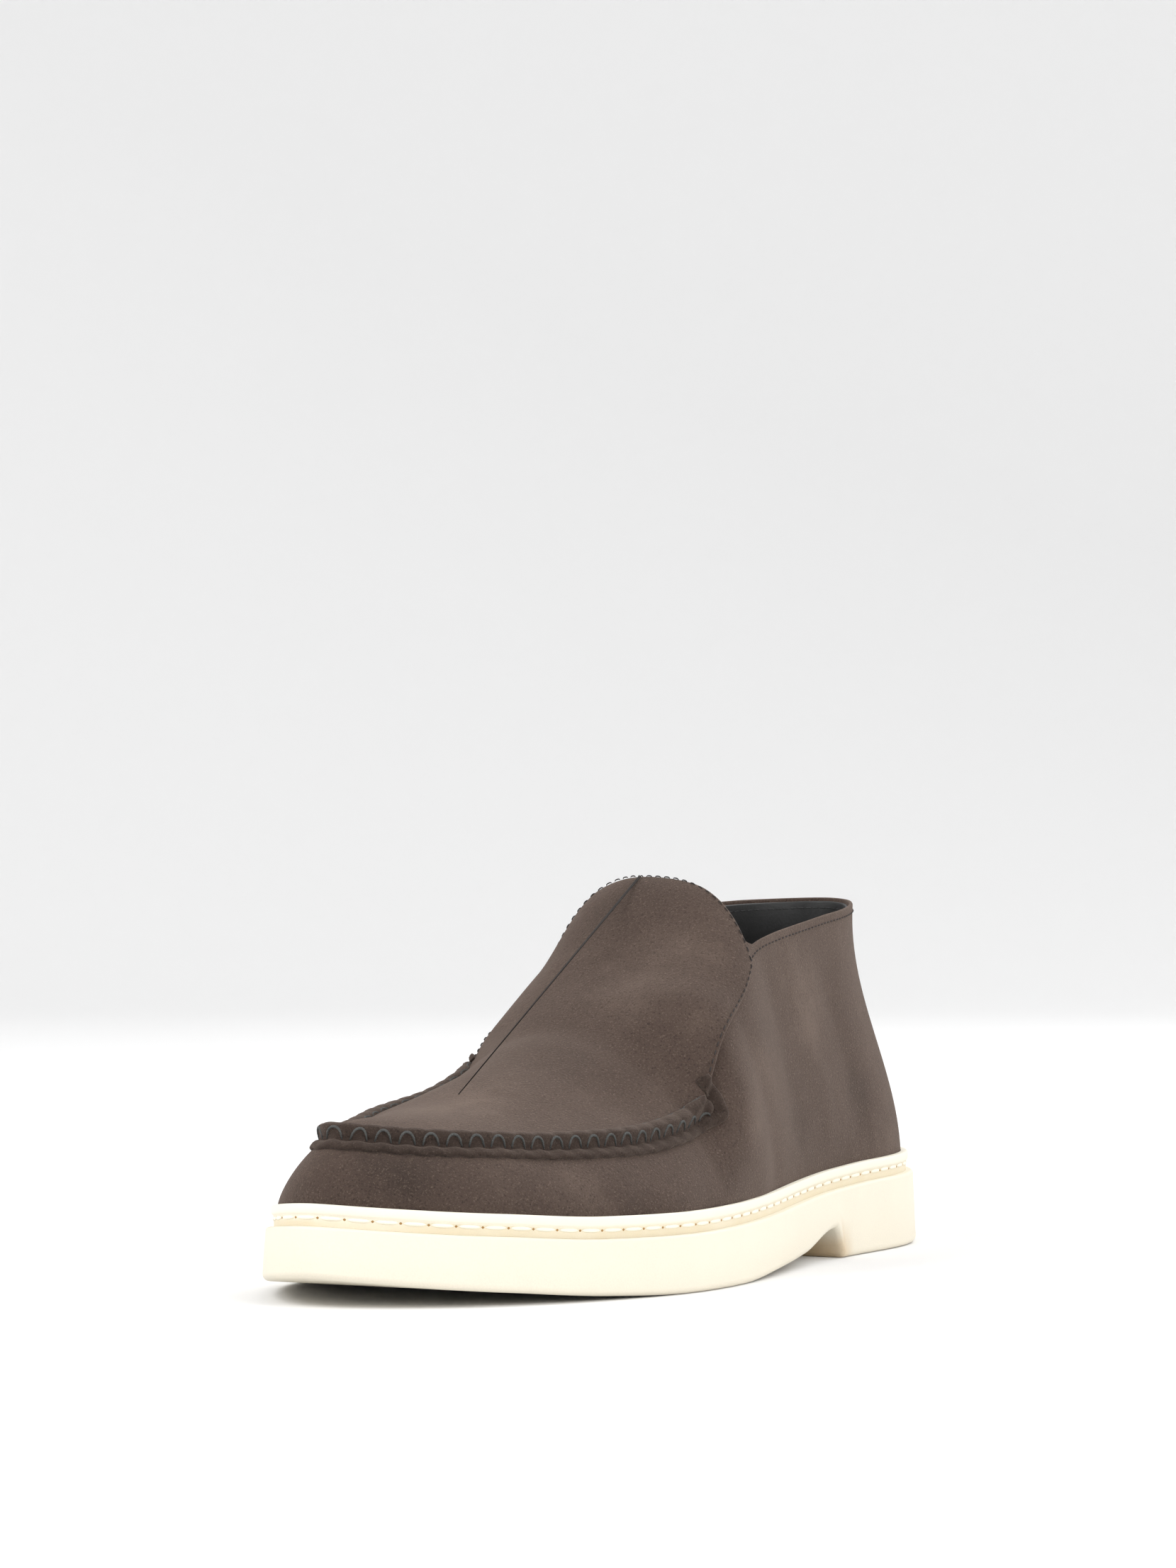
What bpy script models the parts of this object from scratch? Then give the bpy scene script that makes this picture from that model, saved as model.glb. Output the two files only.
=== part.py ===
"""Ankle-high slip-on loafer in suede, left shoe, with a moccasin apron that runs up into a tall tongue.

Metres, +Z up, toe towards -Y, lateral side at +X, standing on z = 0.
Every piece is read from one last surface: rings of sections that leave the sole at the feather line,
rise to an edge (topline, tongue edge or apron seam) and close over the crest of the foot.
"""

import math

import bmesh
import bpy
import numpy as np

# Sole
SOLE_LENGTH = 0.300
BALL_WIDTH = 0.112
HEEL_WIDTH = 0.075
HEEL_BLOCK_HEIGHT = 0.0223
FOREPART_HEIGHT = 0.0158
TOE_SPRING = 0.0076
ARCH_RISE = 0.0090
SOLE_SIDE_DRAFT = 0.0008
SOLE_EDGE_ROUND = 0.0020
LEDGE_ROUND = 0.0007

# Welt, feather and insole
WELT_HEIGHT = 0.0059
BAND_HEIGHT = 0.0031
BAND_STEP = 0.0030
BEAD_STEP = 0.0023
FEATHER_STEP = 0.0045
INSOLE_THICKNESS = 0.0045

# Upper
INSTEP_HEIGHT = 0.0910
BACK_HEIGHT = 0.0806
TOE_BOX_HEIGHT = 0.0210
UPPER_WALL = 0.0022
APRON_WALL = 0.0020
SEAM_WIDTH = 0.0090
SEAM_HEIGHT = 0.0020
STAY_THICKNESS = 0.0011
STAY_HALF_WIDTH = 0.0140
STAY_HEIGHT = 0.0560
INSOLE_ROUND = 0.0008
CLEARANCE = 0.00035

# Where features stand, as shares of the sole's length from the heel
BREAST_REAR = 0.286
BREAST_FRONT = 0.306
TONGUE_TOP = 0.428
EAR_CUT = 0.036
SEAM_LEAVES_EDGE = 0.620
SEAM_END_LATERAL = 0.578
SEAM_END_MEDIAL = 0.575

# Share of the way to the crest over which the tongue's ear is rounded, and how round it is
EAR_REACH = 0.80
EAR_POWER = 1.5

# Pull of the section curves: shares of the wall's rise and of the roof's span
WALL_HANDLE = 0.36
TOP_HANDLE = 0.40

# Rounding of edges and ends, as shares of what they round
RIM_ROUND = 0.35
SEAM_END_FULLNESS = 0.55
STAY_SHOULDER = 0.80

# Mesh fineness
HALF_STATIONS = 46
STATION_SPREAD = 0.17
WALL_ROWS = 8
APRON_ROWS = 34
APRON_COLUMNS = 8
SEAM_STATIONS = 54
TAB_STATIONS = 6
STAY_COLUMNS = 11
STAY_ROWS = 9

# Steps, in ring angle and in level, over which directions are measured
ANGLE_STEP = 0.012
LEVEL_STEP = 0.05


def table(columns, rows):
    """A short table: column names in one string, one row for each section."""
    return {name: [row[i] for row in rows] for i, name in enumerate(columns.split())}


# Plan of the sole: half widths from the long axis
OUTLINE = table("share size lateral medial", [
    (0.02, HEEL_WIDTH, 0.235, 0.235),
    (0.05, HEEL_WIDTH, 0.350, 0.350),
    (0.10, HEEL_WIDTH, 0.445, 0.443),
    (0.20, HEEL_WIDTH, 0.500, 0.487),
    (0.30, HEEL_WIDTH, 0.526, 0.455),
    (0.40, BALL_WIDTH, 0.396, 0.295),
    (0.50, BALL_WIDTH, 0.456, 0.328),
    (0.60, BALL_WIDTH, 0.500, 0.424),
    (0.70, BALL_WIDTH, 0.505, 0.496),
    (0.80, BALL_WIDTH, 0.432, 0.490),
    (0.90, BALL_WIDTH, 0.292, 0.380),
    (0.95, BALL_WIDTH, 0.172, 0.292),
    (0.98, BALL_WIDTH, 0.060, 0.223),
])
TOE_TIP_MEDIAL = 0.088

# Height of the seam tabs over the ledge, as shares of the toe box
TAB_UP_LATERAL = 1.50
TAB_UP_MEDIAL = 1.80

# Ledge and underside of the sole: shares of the heel's extra height, the toe spring and the arch
SOLE_LEVELS = table("share heel ledge_toe arch under_toe", [
    (0.00, 1.00, 0.00, 0.00, 0.00),
    (0.20, 0.82, 0.00, 0.00, 0.00),
    (0.286, 0.66, 0.00, 0.00, 0.00),
    (0.306, 0.62, 0.00, 1.00, 0.00),
    (0.40, 0.40, 0.00, 0.42, 0.00),
    (0.50, 0.20, 0.00, 0.18, 0.00),
    (0.60, 0.06, 0.00, 0.00, 0.00),
    (0.70, 0.00, 0.00, 0.00, 0.00),
    (0.80, 0.00, 0.04, 0.00, 0.14),
    (0.90, 0.00, 0.30, 0.00, 0.47),
    (1.00, 0.00, 0.71, 0.00, 1.00),
])

# Edge of the wall: how far in from the feather line, and how high over the ledge
EDGE = table("share lateral_in medial_in size lateral_up medial_up", [
    (0.00, 0.172, 0.172, BACK_HEIGHT, 1.000, 1.000),
    (0.05, 0.150, 0.150, BACK_HEIGHT, 0.995, 1.000),
    (0.10, 0.128, 0.125, BACK_HEIGHT, 0.985, 1.000),
    (0.20, 0.090, 0.075, BACK_HEIGHT, 0.965, 0.990),
    (0.30, 0.072, 0.040, BACK_HEIGHT, 0.945, 0.975),
    (0.38, 0.080, 0.025, BACK_HEIGHT, 0.925, 0.950),
    (0.43, 0.088, 0.020, INSTEP_HEIGHT, 0.795, 0.775),
    (0.50, 0.074, 0.018, INSTEP_HEIGHT, 0.650, 0.600),
    (0.55, 0.074, 0.050, INSTEP_HEIGHT, 0.555, 0.520),
    (0.58, 0.080, 0.086, INSTEP_HEIGHT, 0.420, 0.456),
    (0.60, 0.086, 0.110, INSTEP_HEIGHT, 0.335, 0.421),
    (0.62, 0.094, 0.130, TOE_BOX_HEIGHT, 1.270, 1.700),
    (0.70, 0.112, 0.172, TOE_BOX_HEIGHT, 1.120, 1.445),
    (0.80, 0.112, 0.172, TOE_BOX_HEIGHT, 1.080, 1.270),
    (0.90, 0.102, 0.130, TOE_BOX_HEIGHT, 1.050, 1.060),
    (1.00, 0.088, 0.088, TOE_BOX_HEIGHT, 1.020, 1.020),
])

# Crest of the foot: each ring station closes on its own place along the crest
CREST = table("share along aside size up", [
    (0.00, 0.150, 0.000, INSTEP_HEIGHT, 1.080),
    (0.10, 0.190, 0.000, INSTEP_HEIGHT, 1.080),
    (0.30, 0.330, -0.010, INSTEP_HEIGHT, 1.060),
    (0.43, 0.447, -0.018, INSTEP_HEIGHT, 1.000),
    (0.50, 0.512, -0.026, INSTEP_HEIGHT, 0.790),
    (0.55, 0.560, -0.030, INSTEP_HEIGHT, 0.656),
    (0.60, 0.606, -0.036, INSTEP_HEIGHT, 0.562),
    (0.65, 0.650, -0.044, INSTEP_HEIGHT, 0.500),
    (0.70, 0.694, -0.050, INSTEP_HEIGHT, 0.448),
    (0.80, 0.778, -0.062, TOE_BOX_HEIGHT, 1.560),
    (0.90, 0.850, -0.076, TOE_BOX_HEIGHT, 1.350),
    (1.00, 0.900, -0.086, TOE_BOX_HEIGHT, 1.170),
])

# Shape of each section: outward swell, lean of the wall at its edge and of the top, in degrees from upright
SECTION = table("share swell lateral_lean medial_lean lateral_top medial_top", [
    (0.00, 0.006, -7.0, -7.0, 8.0, 8.0),
    (0.20, 0.010, 0.0, 0.0, 8.0, 8.0),
    (0.38, 0.012, 6.0, 4.0, 12.0, 12.0),
    (0.43, 0.012, 12.0, 6.0, 14.0, 10.0),
    (0.50, 0.018, 20.0, 14.0, 24.0, 22.0),
    (0.58, 0.022, 34.0, 32.0, 40.0, 46.0),
    (0.70, 0.026, 48.0, 50.0, 66.0, 66.0),
    (0.85, 0.029, 56.0, 58.0, 74.0, 72.0),
    (1.00, 0.034, 60.0, 60.0, 76.0, 76.0),
])

# How far the upper's wall runs past its edge, under the apron and tongue (1 is the edge, 2 the crest)
WALL_TOP = table("share lateral medial", [
    (0.00, 1.00, 1.00),
    (0.42, 1.00, 1.00),
    (0.47, 1.22, 1.20),
    (0.58, 1.30, 1.30),
    (0.75, 1.24, 1.24),
    (1.00, 1.26, 1.26),
])

# Section of the raised seam: shares of its width past the edge, and of its height over the skin
SEAM_PROFILE = table("along over", [
    (0.52, 0.10),
    (0.50, 0.60),
    (0.38, 0.95),
    (0.20, 1.00),
    (0.05, 0.72),
    (-0.05, 0.38),
    (-0.14, 0.66),
    (-0.28, 0.62),
    (-0.40, 0.30),
    (-0.42, 0.00),
])

COLOURS = table("piece red green blue roughness", [
    ("outsole", 0.83, 0.78, 0.66, 0.55),
    ("welt", 0.85, 0.80, 0.68, 0.50),
    ("insole", 0.02, 0.02, 0.02, 0.70),
    ("upper", 0.085, 0.055, 0.042, 0.95),
    ("apron", 0.085, 0.055, 0.042, 0.95),
    ("moc_seam", 0.060, 0.042, 0.034, 0.95),
    ("heel_stay", 0.085, 0.055, 0.042, 0.95),
])


def share_angle(share):
    """Ring angle, on the lateral side, of a share of the length from the heel."""
    return np.arccos(1.0 - 2.0 * np.asarray(share, float))


def angle_share(angle):
    """Share of the length, from the heel, at a ring angle."""
    return (1.0 - np.cos(angle)) / 2.0


def ring_knots(rows, lateral, medial):
    """Knots once around the ring: lateral rows heel to toe, medial rows back again."""
    angles = list(share_angle(rows["share"]))
    values = list(lateral)
    for share_value, value in reversed(list(zip(rows["share"], medial))):
        if 0.0 < share_value < 1.0:
            angles.append(2.0 * math.pi - float(share_angle(share_value)))
            values.append(value)
    return np.array(angles), np.array(values, float)


def closed_slopes(angles, values):
    """Slopes at the knots of a closed curve that never overshoots its knots."""
    step = np.append(np.diff(angles), angles[0] + 2.0 * math.pi - angles[-1])
    rise = (np.roll(values, -1) - values) / step
    before, after = np.roll(rise, 1), rise
    same_way = before * after > 0.0
    slopes = np.zeros(len(values))
    slopes[same_way] = 2.0 * (before * after)[same_way] / (before + after)[same_way]
    return slopes


def smooth_slopes(angles, values):
    """Slopes at the knots of a closed curve with even curvature, for the plan of the sole."""
    count = len(values)
    step = np.append(np.diff(angles), angles[0] + 2.0 * math.pi - angles[-1])
    rise = (np.roll(values, -1) - values) / step
    matrix = np.zeros((count, count))
    right = np.zeros(count)
    for i in range(count):
        before = (i - 1) % count
        after = (i + 1) % count
        matrix[i, before] += 1.0 / step[before]
        matrix[i, i] += 2.0 / step[before] + 2.0 / step[i]
        matrix[i, after] += 1.0 / step[i]
        right[i] = 3.0 * (rise[before] / step[before] + rise[i] / step[i])
    return np.linalg.solve(matrix, right)


def around(rows, lateral, medial, slopes_of=closed_slopes):
    """A smooth function of the ring angle through the rows of a table."""
    angles, values = ring_knots(rows, lateral, medial)
    slopes = slopes_of(angles, values)
    ends = np.append(angles, angles[0] + 2.0 * math.pi)

    def read(angle):
        turned = (np.asarray(angle, float) - angles[0]) % (2.0 * math.pi) + angles[0]
        i = np.clip(np.searchsorted(ends, turned, side="right") - 1, 0, len(values) - 1)
        j = (i + 1) % len(values)
        step = ends[i + 1] - ends[i]
        t = (turned - ends[i]) / step
        blend = t * t * (3.0 - 2.0 * t)
        leave = t * (1.0 - t) ** 2
        arrive = t * t * (t - 1.0)
        return values[i] + (values[j] - values[i]) * blend + step * (slopes[i] * leave + slopes[j] * arrive)

    return read


def scaled(rows, column, size="size"):
    """A column times the named size of its row."""
    return [value * length for value, length in zip(rows[column], rows[size])]


def plan_reader():
    """Signed distance of the sole's outline from the middle of its width, toe tip and heel included."""
    rows = {"share": [0.0] + OUTLINE["share"] + [1.0]}
    tip = -TOE_TIP_MEDIAL * BALL_WIDTH
    lateral = [0.0] + scaled(OUTLINE, "lateral") + [tip]
    medial = [0.0] + [-value for value in scaled(OUTLINE, "medial")] + [tip]
    read = around(rows, lateral, medial, smooth_slopes)
    sides = read(np.linspace(0.0, 2.0 * math.pi, 721))
    middle = 0.5 * (sides.max() + sides.min())
    return lambda angle: read(angle) - middle


def even(rows, column):
    """A reader for a column that is the same on both sides."""
    return around(rows, rows[column], rows[column])


def ledge_levels():
    """Height of the sole's top ledge at each row of its table."""
    extra = HEEL_BLOCK_HEIGHT - FOREPART_HEIGHT
    return [FOREPART_HEIGHT + extra * heel + TOE_SPRING * toe
            for heel, toe in zip(SOLE_LEVELS["heel"], SOLE_LEVELS["ledge_toe"])]


def under_levels():
    """Height of the sole's underside at each row of its table."""
    return [ARCH_RISE * arch + TOE_SPRING * toe
            for arch, toe in zip(SOLE_LEVELS["arch"], SOLE_LEVELS["under_toe"])]


plan_side = plan_reader()
ledge_height = around(SOLE_LEVELS, ledge_levels(), ledge_levels())
under_height = around(SOLE_LEVELS, under_levels(), under_levels())
edge_in = around(EDGE, EDGE["lateral_in"], EDGE["medial_in"])
edge_up = around(EDGE, scaled(EDGE, "lateral_up"), scaled(EDGE, "medial_up"))
crest_along = even(CREST, "along")
crest_aside = even(CREST, "aside")
crest_up = around(CREST, scaled(CREST, "up"), scaled(CREST, "up"))
section_swell = even(SECTION, "swell")
wall_lean = around(SECTION, SECTION["lateral_lean"], SECTION["medial_lean"])
top_lean = around(SECTION, SECTION["lateral_top"], SECTION["medial_top"])
wall_top = around(WALL_TOP, WALL_TOP["lateral"], WALL_TOP["medial"])


def outline(angle, step_in=0.0):
    """Plan point of the sole's outline, moved in along its normal."""
    angle = np.asarray(angle, float)

    def point(a):
        return np.stack([plan_side(a), SOLE_LENGTH * (0.5 - angle_share(a))], axis=-1)

    along = point(angle + ANGLE_STEP / 3.0) - point(angle - ANGLE_STEP / 3.0)
    along /= np.linalg.norm(along, axis=-1, keepdims=True)
    inward = np.stack([along[..., 1], -along[..., 0]], axis=-1)
    return point(angle) + step_in * inward


def bezier(p0, p1, p2, p3, t):
    """Points of a cubic curve at the shares t."""
    t = t[..., None]
    u = 1.0 - t
    return u ** 3 * p0 + 3.0 * u * u * t * p1 + 3.0 * u * t * t * p2 + t ** 3 * p3


def lift(plan, height):
    """Plan points set at their heights."""
    return np.concatenate([plan, height[..., None]], axis=-1)


def skin(angle, level):
    """Point of the last surface: level 0 at the feather line, 1 at the edge, 2 at the crest."""
    angle, level = np.broadcast_arrays(np.asarray(angle, float), np.asarray(level, float))
    base = ledge_height(angle) + CLEARANCE
    feather = outline(angle, FEATHER_STEP)
    crest_y = SOLE_LENGTH * (0.5 - crest_along(angle))
    crest = np.stack([crest_aside(angle) * BALL_WIDTH, crest_y], axis=-1)
    inward = crest - feather
    inward /= np.linalg.norm(inward, axis=-1, keepdims=True)
    edge = feather + inward * (edge_in(angle) * BALL_WIDTH)[..., None]
    rise = edge_up(angle)
    flat = lift(inward, np.zeros_like(rise))
    up = np.zeros_like(flat)
    up[..., 2] = 1.0
    foot = lift(feather, base)
    rim = lift(edge, base + rise)
    top = lift(crest, ledge_height(angle) + crest_up(angle))

    lean = np.radians(wall_lean(angle))[..., None]
    reach = (WALL_HANDLE * rise)[..., None]
    swell = (section_swell(angle) * BALL_WIDTH)[..., None]
    wall_start = foot + up * reach - flat * swell
    wall_end = rim - (up * np.cos(lean) + flat * np.sin(lean)) * reach
    wall = bezier(foot, wall_start, wall_end, rim, np.clip(level, 0.0, 1.0))

    tilt = np.radians(top_lean(angle))[..., None]
    span = TOP_HANDLE * np.linalg.norm(top - rim, axis=-1, keepdims=True)
    roof_start = rim + (up * np.cos(tilt) + flat * np.sin(tilt)) * span
    roof_end = top - flat * span
    roof = bezier(rim, roof_start, roof_end, top, np.clip(level - 1.0, 0.0, 1.0))
    return np.where((level <= 1.0)[..., None], wall, roof)


def skin_normal(angle, level):
    """Outward normal of the last surface, eased over the crease at its edge."""
    angle, level = np.broadcast_arrays(np.asarray(angle, float), np.asarray(level, float))
    level = np.clip(level, 0.6 * LEVEL_STEP, 2.0 - 1.6 * LEVEL_STEP)
    across = skin(angle + ANGLE_STEP, level) - skin(angle - ANGLE_STEP, level)
    rising = skin(angle, level + LEVEL_STEP) - skin(angle, np.maximum(level - LEVEL_STEP, 0.0))
    normal = np.cross(rising, across)
    return normal / np.linalg.norm(normal, axis=-1, keepdims=True)


def over_skin(angle, level, height):
    """Point at a height over the last surface."""
    height = np.asarray(height, float)
    return skin(angle, level) + skin_normal(angle, level) * height[..., None]


def level_from_edge(angle, distance):
    """Level of a point that lies a small distance past the edge (positive towards the crest)."""
    angle, distance = np.broadcast_arrays(np.asarray(angle, float), np.asarray(distance, float))
    wall_speed = 3.0 * WALL_HANDLE * edge_up(angle)
    reach = np.linalg.norm(skin(angle, 2.0) - skin(angle, 1.0), axis=-1)
    roof_speed = 3.0 * TOP_HANDLE * reach
    return 1.0 + np.where(distance > 0.0, distance / roof_speed, distance / wall_speed)


def level_at_height(angle, height):
    """Level at which the wall stands a given height over its foot."""
    samples = np.linspace(0.0, 1.0, 41)
    angle = np.asarray(angle, float)
    height = np.broadcast_to(height, angle.shape)
    found = np.empty(angle.shape)
    for i, (a, h) in enumerate(zip(angle, height)):
        rise = skin(a, samples)[:, 2]
        found[i] = np.interp(h, rise - rise[0], samples)
    return found


def ring_stations():
    """Angles once around the ring, the same shares on both sides, with stations at the heel breast."""
    even_steps = np.linspace(0.0, math.pi, HALF_STATIONS + 1)
    side = even_steps + STATION_SPREAD * np.sin(2.0 * even_steps)
    for share_value in (BREAST_REAR, BREAST_FRONT):
        special = float(share_angle(share_value))
        side[np.argmin(np.abs(side - special))] = special
    side = np.sort(side)
    return np.concatenate([side, (2.0 * math.pi - side[1:-1])[::-1]])


def new_object(name, mesh):
    """The piece as a smooth-shaded object with its own material."""
    row = COLOURS["piece"].index(name)
    material = bpy.data.materials.new(name + "_material")
    material.use_nodes = True
    shader = material.node_tree.nodes["Principled BSDF"]
    colour = [COLOURS[column][row] for column in ("red", "green", "blue")]
    shader.inputs["Base Color"].default_value = (*colour, 1.0)
    shader.inputs["Roughness"].default_value = COLOURS["roughness"][row]
    mesh.materials.append(material)
    mesh.shade_smooth()
    mesh.set_sharp_from_angle(angle=math.radians(40.0))
    piece = bpy.data.objects.new(name, mesh)
    bpy.context.scene.collection.objects.link(piece)
    return piece


def mesh_from(name, points, faces):
    """A closed mesh of welded points with its faces pointing out."""
    mesh = bpy.data.meshes.new(name)
    mesh.from_pydata([tuple(p) for p in points], [], faces)
    bm = bmesh.new()
    bm.from_mesh(mesh)
    bmesh.ops.remove_doubles(bm, verts=bm.verts, dist=0.00001)
    bmesh.ops.recalc_face_normals(bm, faces=bm.faces)
    bm.to_mesh(mesh)
    bm.free()
    return mesh


def ladder(first, count, flip=False):
    """Faces across a closed loop, from each lateral point to the medial point at the same share."""
    faces = []
    for k in range(count // 2):
        corners = [k, k + 1, (count - k - 1) % count, (count - k) % count]
        ring = []
        for corner in corners:
            if first + corner not in ring:
                ring.append(first + corner)
        faces.append(ring[::-1] if flip else ring)
    return faces


def loop_faces(loops, count, closed=False):
    """Quads between neighbouring loops, each with the same number of points."""
    faces = []
    last = loops if closed else loops - 1
    for row in range(last):
        upper_row = (row + 1) % loops
        for k in range(count):
            n = (k + 1) % count
            faces.append([row * count + k, row * count + n, upper_row * count + n, upper_row * count + k])
    return faces


def stacked_solid(name, loops):
    """A solid of stacked loops, closed across the first and last by ladders."""
    count = len(loops[0])
    points = np.concatenate(loops)
    faces = loop_faces(len(loops), count)
    faces += ladder(0, count, flip=True) + ladder((len(loops) - 1) * count, count)
    return new_object(name, mesh_from(name, points, faces))


def ring_solid(name, loops):
    """A solid whose loops close on each other, as a band does."""
    faces = loop_faces(len(loops), len(loops[0]), closed=True)
    return new_object(name, mesh_from(name, np.concatenate(loops), faces))


def plate_solid(name, outer, inner, folded_end=False):
    """A plate from an outer and an inner grid of points; a folded end welds its last row to itself."""
    rows, columns = outer.shape[:2]
    size = rows * columns
    points = np.concatenate([outer.reshape(-1, 3), inner.reshape(-1, 3)])

    def at(row, column, layer):
        return layer * size + row * columns + column

    faces = []
    for r in range(rows - 1):
        n = r + 1
        for c in range(columns - 1):
            for layer in (0, 1):
                faces.append([at(r, c, layer), at(r, c + 1, layer), at(n, c + 1, layer), at(n, c, layer)])
        for c in (0, columns - 1):
            faces.append([at(r, c, 0), at(n, c, 0), at(n, c, 1), at(r, c, 1)])
    for r in ((0,) if folded_end else (0, rows - 1)):
        for c in range(columns - 1):
            faces.append([at(r, c, 0), at(r, c + 1, 0), at(r, c + 1, 1), at(r, c, 1)])
    return new_object(name, mesh_from(name, points, faces))


def build_outsole(stations):
    """Sole block: heel, arch and forepart in one, its side drawn in a little towards the ledge."""
    under = under_height(stations)
    ledge = ledge_height(stations)
    side = ledge - under

    def loop(step_in, height):
        return lift(outline(stations, step_in), height)

    corner = SOLE_EDGE_ROUND
    loops = [
        loop(corner, under),
        loop(0.3 * corner, under + 0.3 * corner),
        loop(0.0, under + corner),
        loop(0.5 * SOLE_SIDE_DRAFT, under + 0.55 * side),
        loop(SOLE_SIDE_DRAFT, ledge - LEDGE_ROUND),
        loop(SOLE_SIDE_DRAFT + LEDGE_ROUND, ledge),
    ]
    return stacked_solid("outsole", loops)


def welt_meets_upper(stations):
    """Level of the upper's wall at the top of the welt's inner face."""
    return level_at_height(stations, WELT_HEIGHT - 0.2 * (WELT_HEIGHT - BAND_HEIGHT))


def build_welt(stations):
    """Recessed stitched band with a rounded bead over it, all around the upper's foot."""
    base = ledge_height(stations) + CLEARANCE
    bead_radius = 0.5 * (WELT_HEIGHT - BAND_HEIGHT)
    bead_middle = base + BAND_HEIGHT + bead_radius

    def outer(step_in, height):
        return lift(outline(stations, step_in), height)

    def inner(level):
        return over_skin(stations, level, np.full(len(stations), CLEARANCE))

    loops = [
        inner(0.0),
        outer(BAND_STEP, base),
        outer(BAND_STEP, base + BAND_HEIGHT - 0.15 * bead_radius),
        outer(BEAD_STEP + 0.25 * bead_radius, base + BAND_HEIGHT),
        outer(BEAD_STEP, bead_middle),
        outer(BEAD_STEP + 0.20 * bead_radius, bead_middle + 0.75 * bead_radius),
        outer(BEAD_STEP + 0.55 * bead_radius, bead_middle + bead_radius),
        inner(welt_meets_upper(stations)),
    ]
    return ring_solid("welt", loops)


def build_upper(stations):
    """One wall from the feather line to the topline, run on under the apron and tongue in front."""
    top = wall_top(stations)
    foot = welt_meets_upper(stations)
    levels = [np.zeros(len(stations))]
    levels += [foot + (top - foot) * share_value for share_value in np.linspace(0.0, 1.0, WALL_ROWS)]
    sunk = [CLEARANCE * np.clip((level - 1.0) / LEVEL_STEP, 0.0, 1.0) for level in levels]
    outer = [over_skin(stations, level, -depth) for level, depth in zip(levels, sunk)]
    inner = [over_skin(stations, level, -depth - UPPER_WALL) for level, depth in zip(levels, sunk)]
    upward = outer[-1] - outer[-2]
    upward /= np.linalg.norm(upward, axis=-1, keepdims=True)
    rim = 0.5 * (outer[-1] + inner[-1]) + RIM_ROUND * UPPER_WALL * upward
    for row in inner:
        row[:, 2] = np.maximum(row[:, 2], outer[0][:, 2])
    inner[0][:, 2] = outer[0][:, 2]
    return ring_solid("upper", outer + [rim] + inner[::-1])


def build_insole(stations):
    """Footbed inside the foot of the wall."""
    inside = -(UPPER_WALL + CLEARANCE)
    base = ledge_height(stations) + CLEARANCE

    def loop(height, step_in):
        level = level_at_height(stations, height)
        ring = over_skin(stations, level, np.full(len(stations), inside - step_in))
        return lift(ring[:, :2], base + height)

    loops = [
        loop(0.0, 0.0),
        loop(INSOLE_THICKNESS - INSOLE_ROUND, 0.0),
        loop(INSOLE_THICKNESS, INSOLE_ROUND),
    ]
    return stacked_solid("insole", loops)


def tongue_end(level):
    """Share at which the tongue ends: straight over the top, rounded into its edge at each ear."""
    corner = np.clip(1.0 - (level - 1.0) / EAR_REACH, 0.0, 1.0)
    return TONGUE_TOP + EAR_CUT * corner ** EAR_POWER


def build_apron():
    """Apron and tongue in one: it lies over the upper from the toe seam to the tongue's top."""
    half = np.linspace(0.0, 1.0, APRON_COLUMNS + 1)
    levels = 1.0 + half ** 1.15
    along = np.linspace(0.0, 1.0, APRON_ROWS + 1)
    across = np.concatenate([levels, levels[-2::-1]])
    medial = np.arange(len(across)) > APRON_COLUMNS
    start = share_angle(tongue_end(across))
    angle = start[None, :] + (math.pi - start[None, :]) * along[:, None]
    angle = np.where(medial[None, :], 2.0 * math.pi - angle, angle)
    level = np.broadcast_to(across[None, :], angle.shape)
    outer = over_skin(angle, level, np.full(angle.shape, CLEARANCE + APRON_WALL))
    inner = over_skin(angle, level, np.full(angle.shape, CLEARANCE))
    return plate_solid("apron", outer, inner, folded_end=True)


def seam_drop(stations):
    """How far below the apron's edge the seam runs: nothing along the toe, more out to each tab."""
    share_value = angle_share(stations)
    lateral = stations < math.pi
    end = np.where(lateral, SEAM_END_LATERAL, SEAM_END_MEDIAL)
    tab = np.where(lateral, TAB_UP_LATERAL, TAB_UP_MEDIAL) * TOE_BOX_HEIGHT
    leaves = share_angle(SEAM_LEAVES_EDGE)
    start = edge_up(np.where(lateral, leaves, 2.0 * math.pi - leaves))
    out = np.clip((SEAM_LEAVES_EDGE - share_value) / (SEAM_LEAVES_EDGE - end), 0.0, 1.0)
    level = level_at_height(stations, np.minimum(start + (tab - start) * out, edge_up(stations)))
    wall_speed = 3.0 * WALL_HANDLE * edge_up(stations)
    return np.where(out > 0.0, (1.0 - level) * wall_speed, 0.0)


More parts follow.
